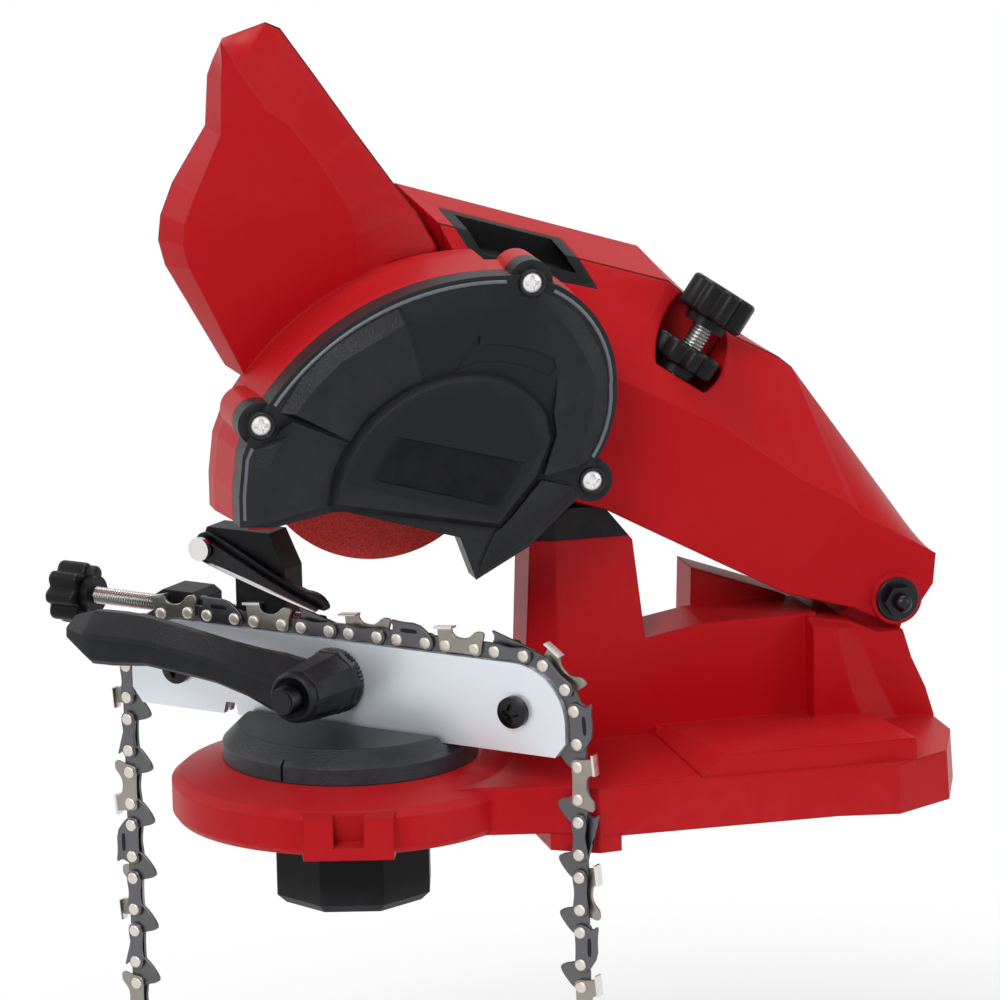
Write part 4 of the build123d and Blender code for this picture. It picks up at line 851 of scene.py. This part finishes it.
def build_screws():
    """Heads with their driving recesses on guard and front plate, the dome of the pivot bolt
    and the flange of its nut."""
    guard_head = driven_head(radius=3.5, height=2.0, recess=2.5, arms=4, depth=1.3)
    guide_head = driven_head(radius=5.4, height=3.7, recess=3.1, arms=4, depth=1.3)
    sleeve = turned([(3.62, 0), (4.58, 0), (4.58, 3.2), (4.2, 3.6), (3.62, 3.2), (3.62, 0)])
    for number, (x, z) in enumerate(GUARD_SCREWS):
        head = ring_piece("guard_screw_head_%d" % number,
                          put(guard_head, side_frame(x, GUARD_HEAD_Y, z)),
                          "screw", "arm")
        ring_piece("guard_screw_sleeve_%d" % number,
                   put(sleeve, side_frame(x, SLEEVE_FOOT_Y, z)), "guard_plastic",
                   "arm")
    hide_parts("guard_screws")
    for number, along in enumerate(GUIDE_SCREWS):
        ring_piece("guide_screw_head_%d" % number,
                   put(guide_head, vise_frame(along, GUIDE_OUT, GUIDE_Z)), "black_steel",
                   "front_plate")
    dome = turned([(3.0, 0), (3.0, 1.2), (2.6, 1.9), (1.8, 2.5), (0.8, 2.8)], 32)
    flange = turned([(7.4, 0), (7.6, 0.2), (7.6, 0.7), (7.2, 1.1), (3.1, 1.1)])
    for name, rings, y in (("pivot_bolt_dome", dome, BOLT_END_Y),
                           ("pivot_nut_flange", flange, NUT_FACE_Y)):
        ring_piece(name, put(rings, side_frame(PIVOT_X, y, PIVOT_Z)), "black_steel",
                   "base")


def build_lever():
    """Clamp lever and the stud's round end.

    The arm is one eight-cornered section carried along the lever between a top and a bottom
    line.  The hub is a ten-sided cone with a collar at its front and a toothed ring behind."""
    along = np.array([-99.3, -98.2, -90, -86.5, -78, -70, -64, -50, -36, -24, -14, -6, 0, 2])
    top = np.array([57.5, 61.4, 63.9, 64.2, 64.4, 64.1, 63.4, 61.2, 59.0, 57.6, 57.0, 55.8,
                    54.0, 50.0])
    low = np.array([55.4, 54.5, 49.6, 47.4, 47.6, 48.4, 49.0, 47.8, 46.2, 43.2, 39.4, 37.6,
                    39.0, 44.0])
    near = np.array([22.0, 25.0, 27.6] + [28.0] * 9 + [27.0, 25.0])
    far = np.array([18.0, 16.0, 15.2] + [15.0] * 9 + [15.5, 17.0])
    across = np.array([0.0, 0.1, 0.34, 0.93, 1.0, 1.0, 0.88, 0.12])
    rise = np.array([0.9, 1.0, 1.0, 0.62, 0.52, 0.1, 0.0, 0.0])
    out = far[:, None] + (near - far)[:, None] * across
    z = low[:, None] + (top - low)[:, None] * rise
    rings = np.stack([np.broadcast_to(along[:, None], z.shape), z, out], axis=2)
    arm = ring_piece("clamp_lever_arm", put(rings, vise_frame(0, 0, 0)), "lever_plastic",
                     "clamp_lever", 12.0)
    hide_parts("clamp_lever")
    hub = turned([(10.4, 3.5), (11.2, 4.2), (11.2, 8.0), (10.9, 8.6), (9.3, 28.2),
                  (7.4, 28.6)], 10)
    collar = turned([(7.6, 27.0), (8.6, 28.4), (8.8, 30.4), (8.2, 31.6), (7.2, 31.9),
                     (6.6, 31.2), (4.1, 31.0)], 64)
    ring = turned([(10.9, 0.0), (11.3, 0.3), (11.3, 1.9), (10.9, 2.2)], RING_TEETH * 2)
    ring[:, 1::2, :2] *= TOOTH_VALLEY
    end = turned([(4.9, 28.0), (4.9, 36.8), (4.4, 37.6), (2.0, 37.8)], 40)
    for name, rings, out, finish, slot, body, sharp in (
            ("clamp_lever_hub", hub, 0, "lever_plastic", "black_plastic", "clamp_lever", 20.0),
            ("clamp_lever_collar", collar, 0, "lever_plastic", "black_plastic", "clamp_lever",
             50.0),
            ("clamp_serrated_ring", ring, 3.4, "black_steel", "black_steel", "clamp_lever",
             20.0),
            ("clamp_stud_end", end, 0, "black_steel", "black_steel", "vise", 40.0)):
        ring_piece(name, put(rings, vise_frame(STUD_ALONG, out, STUD_Z)), finish, body,
                   sharp)


def build_stop():
    """Pawl of two dark strips with a bright lower edge, and the pin's ring and bright end."""
    wide = np.array([(-58, 81), (-10.5, 67.5), (-7.7, 69.5), (-12, 74), (-20, 74.5), (-54, 91),
                     (-60, 90.5), (-61.5, 84)])
    narrow = np.array([(-58, 82.0), (-12.5, 68.4), (-9.0, 69.6), (-22, 73.8), (-53, 88.0),
                       (-58, 90.0), (-61, 85)])
    edge = np.array([(-56.5, 80.8), (-12.0, 67.8), (-10.8, 68.8), (-13.5, 69.7), (-56.2, 82.3)])
    for label, shape, near, far, finish in (("far", wide, -3.1, 0.0, "black_steel"),
                                            ("near", narrow, 0.2, 2.6, "black_steel"),
                                            ("edge", edge, 0.3, 3.1, "chrome")):
        rings = stack(cut_corners(shape, 2),
                      [(0.3, near), (0, near + 0.3), (0, far - 0.3), (0.3, far)])
        strip = ring_piece("stop_pawl_" + label, put(rings, vise_frame(0, 0, 0)), finish,
                           "stop_pawl")
    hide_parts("stop_pawl")
    ring = [(2.45, 2.7), (3.9, 2.8), (4.0, 3.2), (4.0, 4.2), (3.6, 4.6), (2.9, 4.6)]
    end = [(2.9, 4.0), (2.95, 5.0), (2.6, 5.4), (1.2, 5.5)]
    for name, profile, finish in (("stop_pin_ring", ring, "black_steel"),
                                  ("stop_pin_end", end, "screw")):
        ring_piece(name, put(turned(profile, 40), vise_frame(PIN_ALONG, 0, PIN_Z)), finish,
                   "stop_carriage")


# ------------------------------------------------------------------ guard, in millimetres
GUARD_FACE_Y = -28.0
RAISED_MIDDLE = np.array([28.0, 126.0, 32.0])
CHAMFER = 3.4
BEAD_R = 0.7
PLATE_SHRINK = 0.96
PLATE_CORNER = 0.05
PLATE_LEVELS = [(0, 31.62), (0, 31.8), (0.2, 31.95)]
MERGE_M = 0.000002
FRONT_BAND_M = 0.00001


def sweep(path, radius, across=8):
    """Rings of a bead along a path of (x, z) points, half sunk in the wall behind it."""
    along = np.gradient(path, axis=0)
    along /= np.linalg.norm(along, axis=1)[:, None]
    normal = np.stack([along[:, 1], -along[:, 0]], axis=1)
    angle = full_turn(across)
    flat = path[:, None] + radius * np.cos(angle)[None, :, None] * normal[:, None]
    out = np.broadcast_to(radius * np.sin(angle)[None, :, None], (len(path), across, 1))
    return np.concatenate([flat, out], axis=2)


def arc_through(start, middle, end, count):
    """Points of the circle's arc, clockwise, from start to end through the middle point."""
    a, b, c = (np.array(point, dtype=float) for point in (start, middle, end))
    rows = 2 * np.array([b - a, c - a])
    centre = np.linalg.solve(rows, np.array([b @ b - a @ a, c @ c - a @ a]))
    radius = np.linalg.norm(a - centre)
    first, mid, last = (math.atan2(*(point - centre)[::-1]) for point in (a, b, c))
    while mid > first:
        mid -= 2 * math.pi
    while last > mid:
        last -= 2 * math.pi
    angle = np.linspace(first, last, count)
    return centre + radius * np.stack([np.cos(angle), np.sin(angle)], axis=1)


def fan_relief(stations, steps=6):
    """Relief between the guard's rim and its raised middle.

    Each station is a cross-section (rim, crest, foot), each a point (x, z, height over the
    face).  The section is carried from station to station along straight lines, and it is
    closed by a floor half a millimetre below the face."""
    sections = np.array(stations, dtype=float)
    place = np.linspace(0, len(sections) - 1, (len(sections) - 1) * steps + 1)
    low = np.minimum(place.astype(int), len(sections) - 2)
    share = (place - low)[:, None, None]
    fine = sections[low] * (1 - share) + sections[low + 1] * share
    floor = fine[:, [2, 0]]
    floor[..., 2] = -0.5
    return np.concatenate([fine, floor], axis=1)


def chamfered_guard():
    """Copy of the guard whose raised middle has a broad chamfer round its face.

    The chamfer takes the edges between the frontmost face and the walls that look away from
    its middle."""
    shell = bmesh.new()
    shell.from_mesh(FRAME["nodes"]["wheel_guard"].data)
    bmesh.ops.remove_doubles(shell, verts=shell.verts, dist=MERGE_M)
    bmesh.ops.dissolve_limit(shell, angle_limit=math.radians(0.5), verts=shell.verts,
                             edges=shell.edges)
    front = min(vert.co.y for vert in shell.verts)
    middle = Vector(put(RAISED_MIDDLE, side_frame(0, 0, 0)))
    rim = []
    for edge in shell.edges:
        if max(vert.co.y for vert in edge.verts) > front + FRONT_BAND_M:
            continue
        centre = (edge.verts[0].co + edge.verts[1].co) / 2
        walls = [face for face in edge.link_faces if abs(face.normal.y) < 0.5]
        if walls and walls[0].normal.dot(centre - middle) > 0:
            rim.append(edge)
    bmesh.ops.bevel(shell, geom=rim, offset=CHAMFER * MM, offset_type="OFFSET", segments=1,
                    affect="EDGES", clamp_overlap=True)
    mesh = bpy.data.meshes.new("guard_shell")
    shell.to_mesh(mesh)
    shell.free()
    piece = new_piece("guard_shell", mesh, "guard_plastic", 20.0)
    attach(piece, "arm")
    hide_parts("wheel_guard")


def build_guard():
    """Chamfered shell, rim bead lightened as a painted highlight line, fanned relief, and the
    bare plate on the raised middle.
    """
    chamfered_guard()
    runs = [np.array([(-40.0, 110), (-40.0, 118), (-38.6, 130.4), (-36.8, 134.2)]),
            arc_through((-28.9, 147.9), (-2.8, 171.2), (50.7, 184.2), 24),
            np.concatenate([arc_through((66.9, 180.1), (74.4, 174.8), (86.0, 148.4), 12),
                            arc_through((85.8, 147.2), (84.6, 134.6), (79.2, 122.6), 6)])]
    for number, run in enumerate(runs):
        # the bead is lighter than the guard: a painted highlight along the rim
        ring_piece("guard_rim_highlight_bead_%d" % number,
                   put(sweep(run, BEAD_R), side_frame(0, GUARD_FACE_Y, 0)), "guard_edge_highlight",
                   "arm", 60.0)
    left = [[(-40.6, 107.9, 0.1), (-34.5, 108.9, 3.3), (-11.4, 112.6, 0.1)],
            [(-40.4, 118.0, 0.1), (-33.8, 119.0, 3.3), (-10.8, 118.0, 0.1)],
            [(-38.9, 128.0, 0.1), (-31.5, 128.6, 3.3), (-9.0, 125.0, 0.1)],
            [(-37.4, 133.2, 0.1), (-28.0, 135.6, 3.3), (-5.6, 131.2, 0.1)],
            [(-29.0, 137.0, 0.1), (-24.6, 138.4, 3.3), (-4.6, 132.6, 0.1)],
            [(-27.6, 140.0, 3.4), (-23.8, 142.9, 3.4), (-3.8, 133.4, 0.7)]]
    middle = [[(-27.4, 145.5, 0.3), (-22.6, 145.2, 3.4), (-3.4, 134.0, 0.7)],
              [(-20.0, 156.4, 0.1), (-16.0, 153.2, 3.5), (2.0, 140.6, 0.1)],
              [(-9.6, 165.8, 0.1), (-6.6, 161.6, 3.5), (9.0, 146.0, 0.1)],
              [(0.2, 171.6, 0.1), (3.0, 166.6, 3.5), (14.0, 149.0, 0.1)],
              [(4.2, 173.6, 0.1), (6.6, 168.2, 3.3), (16.6, 150.2, 0.1)],
              [(13.6, 177.6, 0.1), (15.4, 172.8, 2.4), (21.4, 151.6, 0.3)],
              [(14.4, 177.8, 0.1), (17.4, 172.4, 0.1), (22.2, 151.8, 0.1)]]
    right = [[(62.4, 180.4, 0.1), (61.8, 177.2, 0.1), (61.0, 176.0, -0.3)],
             [(68.6, 177.2, 0.1), (66.2, 173.0, 1.0), (63.0, 170.4, -0.3)],
             [(76.0, 170.6, 0.1), (72.0, 166.2, 1.8), (66.4, 161.4, -0.3)],
             [(82.6, 159.0, 0.1), (77.4, 156.0, 2.2), (67.4, 150.0, 0.1)],
             [(85.0, 150.4, 0.1), (79.6, 151.4, 2.4), (66.4, 142.4, 1.6)],
             [(85.0, 146.4, 0.1), (80.0, 147.2, 2.6), (65.6, 139.4, 2.2)],
             [(84.6, 138.0, 0.1), (78.6, 138.4, 2.6), (66.4, 131.4, 2.4)],
             [(81.6, 128.4, 0.1), (75.6, 128.8, 2.6), (64.6, 126.4, 2.4)],
             [(77.6, 121.4, 0.1), (74.0, 120.4, 2.6), (61.8, 118.0, 2.4)]]
    lower = [[(73.6, 110.6, 0.1), (71.6, 113.4, 2.0), (61.0, 116.4, 2.2)],
             [(66.0, 103.8, 0.1), (63.2, 106.2, 1.4), (56.8, 111.6, 1.7)],
             [(56.6, 95.2, 0.1), (54.4, 97.6, 1.0), (50.6, 104.4, 1.3)],
             [(39.4, 85.8, 0.1), (39.6, 89.0, 0.8), (44.6, 99.2, 1.0)]]
    for label, stations in (("left", left), ("middle", middle), ("right", right),
                            ("lower", lower)):
        ring_piece("guard_relief_" + label,
                   put(fan_relief(stations), side_frame(0, GUARD_FACE_Y, 0)), "guard_plastic",
                   "arm", 14.0)
    # the plate is a little smaller than its seat, and its corners are cut
    corners = np.array([(1.8, 121.5), (10.7, 135.5), (54.9, 123.3), (46.0, 108.6)])
    inner = corners.mean(axis=0) + (corners - corners.mean(axis=0)) * PLATE_SHRINK
    share = np.array([PLATE_CORNER, 1 - PLATE_CORNER])[None, :, None]
    outline = (inner[:, None] * (1 - share)
               + np.roll(inner, -1, axis=0)[:, None] * share).reshape(-1, 2)
    ring_piece("bare_plate", put(stack(outline, PLATE_LEVELS), side_frame(0, 0, 0)),
               "plate_label", "arm", 25.0)


# ------------------------------------------------------------------ frame pieces
def dress_frame():
    """Gives each CAD node the material of its slot or its own."""
    slot_of = {s["node"]: s["material_slot"] for s in FRAME["record"]["subparts"]}
    special = {"wheel_guard": "guard_plastic", "turntable": "turntable_plastic",
               "base_housing": "red_base"}
    for name, node in FRAME["nodes"].items():
        node.data.materials.clear()
        node.data.materials.append(MATERIALS[special.get(name, slot_of[name])])


# ------------------------------------------------------------------ operators
class SHARPENER_OT_dress(bpy.types.Operator):
    """Materials of the frame's own pieces"""
    bl_idname = "sharpener.dress"
    bl_label = "Dress the frame"

    def execute(self, context):
        MATERIALS.update(make_materials(context.scene.sharpener_finish))
        dress_frame()
        return {"FINISHED"}


class SHARPENER_OT_chain(bpy.types.Operator):
    """Links, cutters and rivets of the saw chain"""
    bl_idname = "sharpener.chain"
    bl_label = "Build the chain"

    def execute(self, context):
        build_chain()
        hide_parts(*CHAIN_NODES)
        return {"FINISHED"}


class SHARPENER_OT_threads(bpy.types.Operator):
    """Threads of the depth rod and the feed screw"""
    bl_idname = "sharpener.threads"
    bl_label = "Build the threads"

    def execute(self, context):
        build_threads()
        return {"FINISHED"}


class SHARPENER_OT_knobs(bpy.types.Operator):
    """Star knobs of the depth stop and the feed screw"""
    bl_idname = "sharpener.knobs"
    bl_label = "Build the knobs"

    def execute(self, context):
        build_knobs(context.scene.sharpener_shape)
        return {"FINISHED"}


class SHARPENER_OT_screws(bpy.types.Operator):
    """Screw heads, the pivot bolt's dome and the pivot nut's flange"""
    bl_idname = "sharpener.screws"
    bl_label = "Build the screw heads"

    def execute(self, context):
        build_screws()
        return {"FINISHED"}


class SHARPENER_OT_lever(bpy.types.Operator):
    """Clamp lever of the vise and the end of its stud"""
    bl_idname = "sharpener.lever"
    bl_label = "Build the clamp lever"

    def execute(self, context):
        build_lever()
        return {"FINISHED"}


class SHARPENER_OT_stop(bpy.types.Operator):
    """Pawl and pin of the chain stop"""
    bl_idname = "sharpener.stop"
    bl_label = "Build the chain stop"

    def execute(self, context):
        build_stop()
        return {"FINISHED"}


class SHARPENER_OT_guard(bpy.types.Operator):
    """Chamfered shell, rim bead with a painted highlight line, relief and bare plate of the guard
    """
    bl_idname = "sharpener.guard"
    bl_label = "Build the guard's details"

    def execute(self, context):
        build_guard()
        return {"FINISHED"}


class SHARPENER_OT_stage(bpy.types.Operator):
    """Camera, floor and light"""
    bl_idname = "sharpener.stage"
    bl_label = "Build the stage"

    def execute(self, context):
        make_stage(context.scene.sharpener_stage)
        return {"FINISHED"}


class SHARPENER_PT_panel(bpy.types.Panel):
    """Buttons and settings of the sharpener"""
    bl_label = "Chainsaw sharpener"
    bl_idname = "SHARPENER_PT_panel"
    bl_space_type = "VIEW_3D"
    bl_region_type = "UI"
    bl_category = "Sharpener"

    def draw(self, context):
        for operator in OPERATORS:
            self.layout.operator(operator.bl_idname)
        for owner in (context.scene.sharpener_stage, context.scene.sharpener_finish,
                      context.scene.sharpener_shape):
            for key in owner.__annotations__:
                self.layout.prop(owner, key)


OPERATORS = (SHARPENER_OT_dress, SHARPENER_OT_chain, SHARPENER_OT_threads,
             SHARPENER_OT_knobs, SHARPENER_OT_screws, SHARPENER_OT_lever,
             SHARPENER_OT_stop, SHARPENER_OT_guard, SHARPENER_OT_stage)
CLASSES = (StageSettings, FinishSettings, ShapeSettings, *OPERATORS, SHARPENER_PT_panel)


def register():
    for cls in CLASSES:
        bpy.utils.register_class(cls)
    bpy.types.Scene.sharpener_stage = PointerProperty(type=StageSettings)
    bpy.types.Scene.sharpener_finish = PointerProperty(type=FinishSettings)
    bpy.types.Scene.sharpener_shape = PointerProperty(type=ShapeSettings)


def unregister():
    del bpy.types.Scene.sharpener_shape
    del bpy.types.Scene.sharpener_finish
    del bpy.types.Scene.sharpener_stage
    for cls in reversed(CLASSES):
        bpy.utils.unregister_class(cls)


def main():
    """Runs the operators in order."""
    register()
    bpy.ops.sharpener.dress()
    bpy.ops.sharpener.chain()
    bpy.ops.sharpener.threads()
    bpy.ops.sharpener.knobs()
    bpy.ops.sharpener.screws()
    bpy.ops.sharpener.lever()
    bpy.ops.sharpener.stop()
    bpy.ops.sharpener.guard()
    bpy.ops.sharpener.stage()


if __name__ == "__main__":
    main()
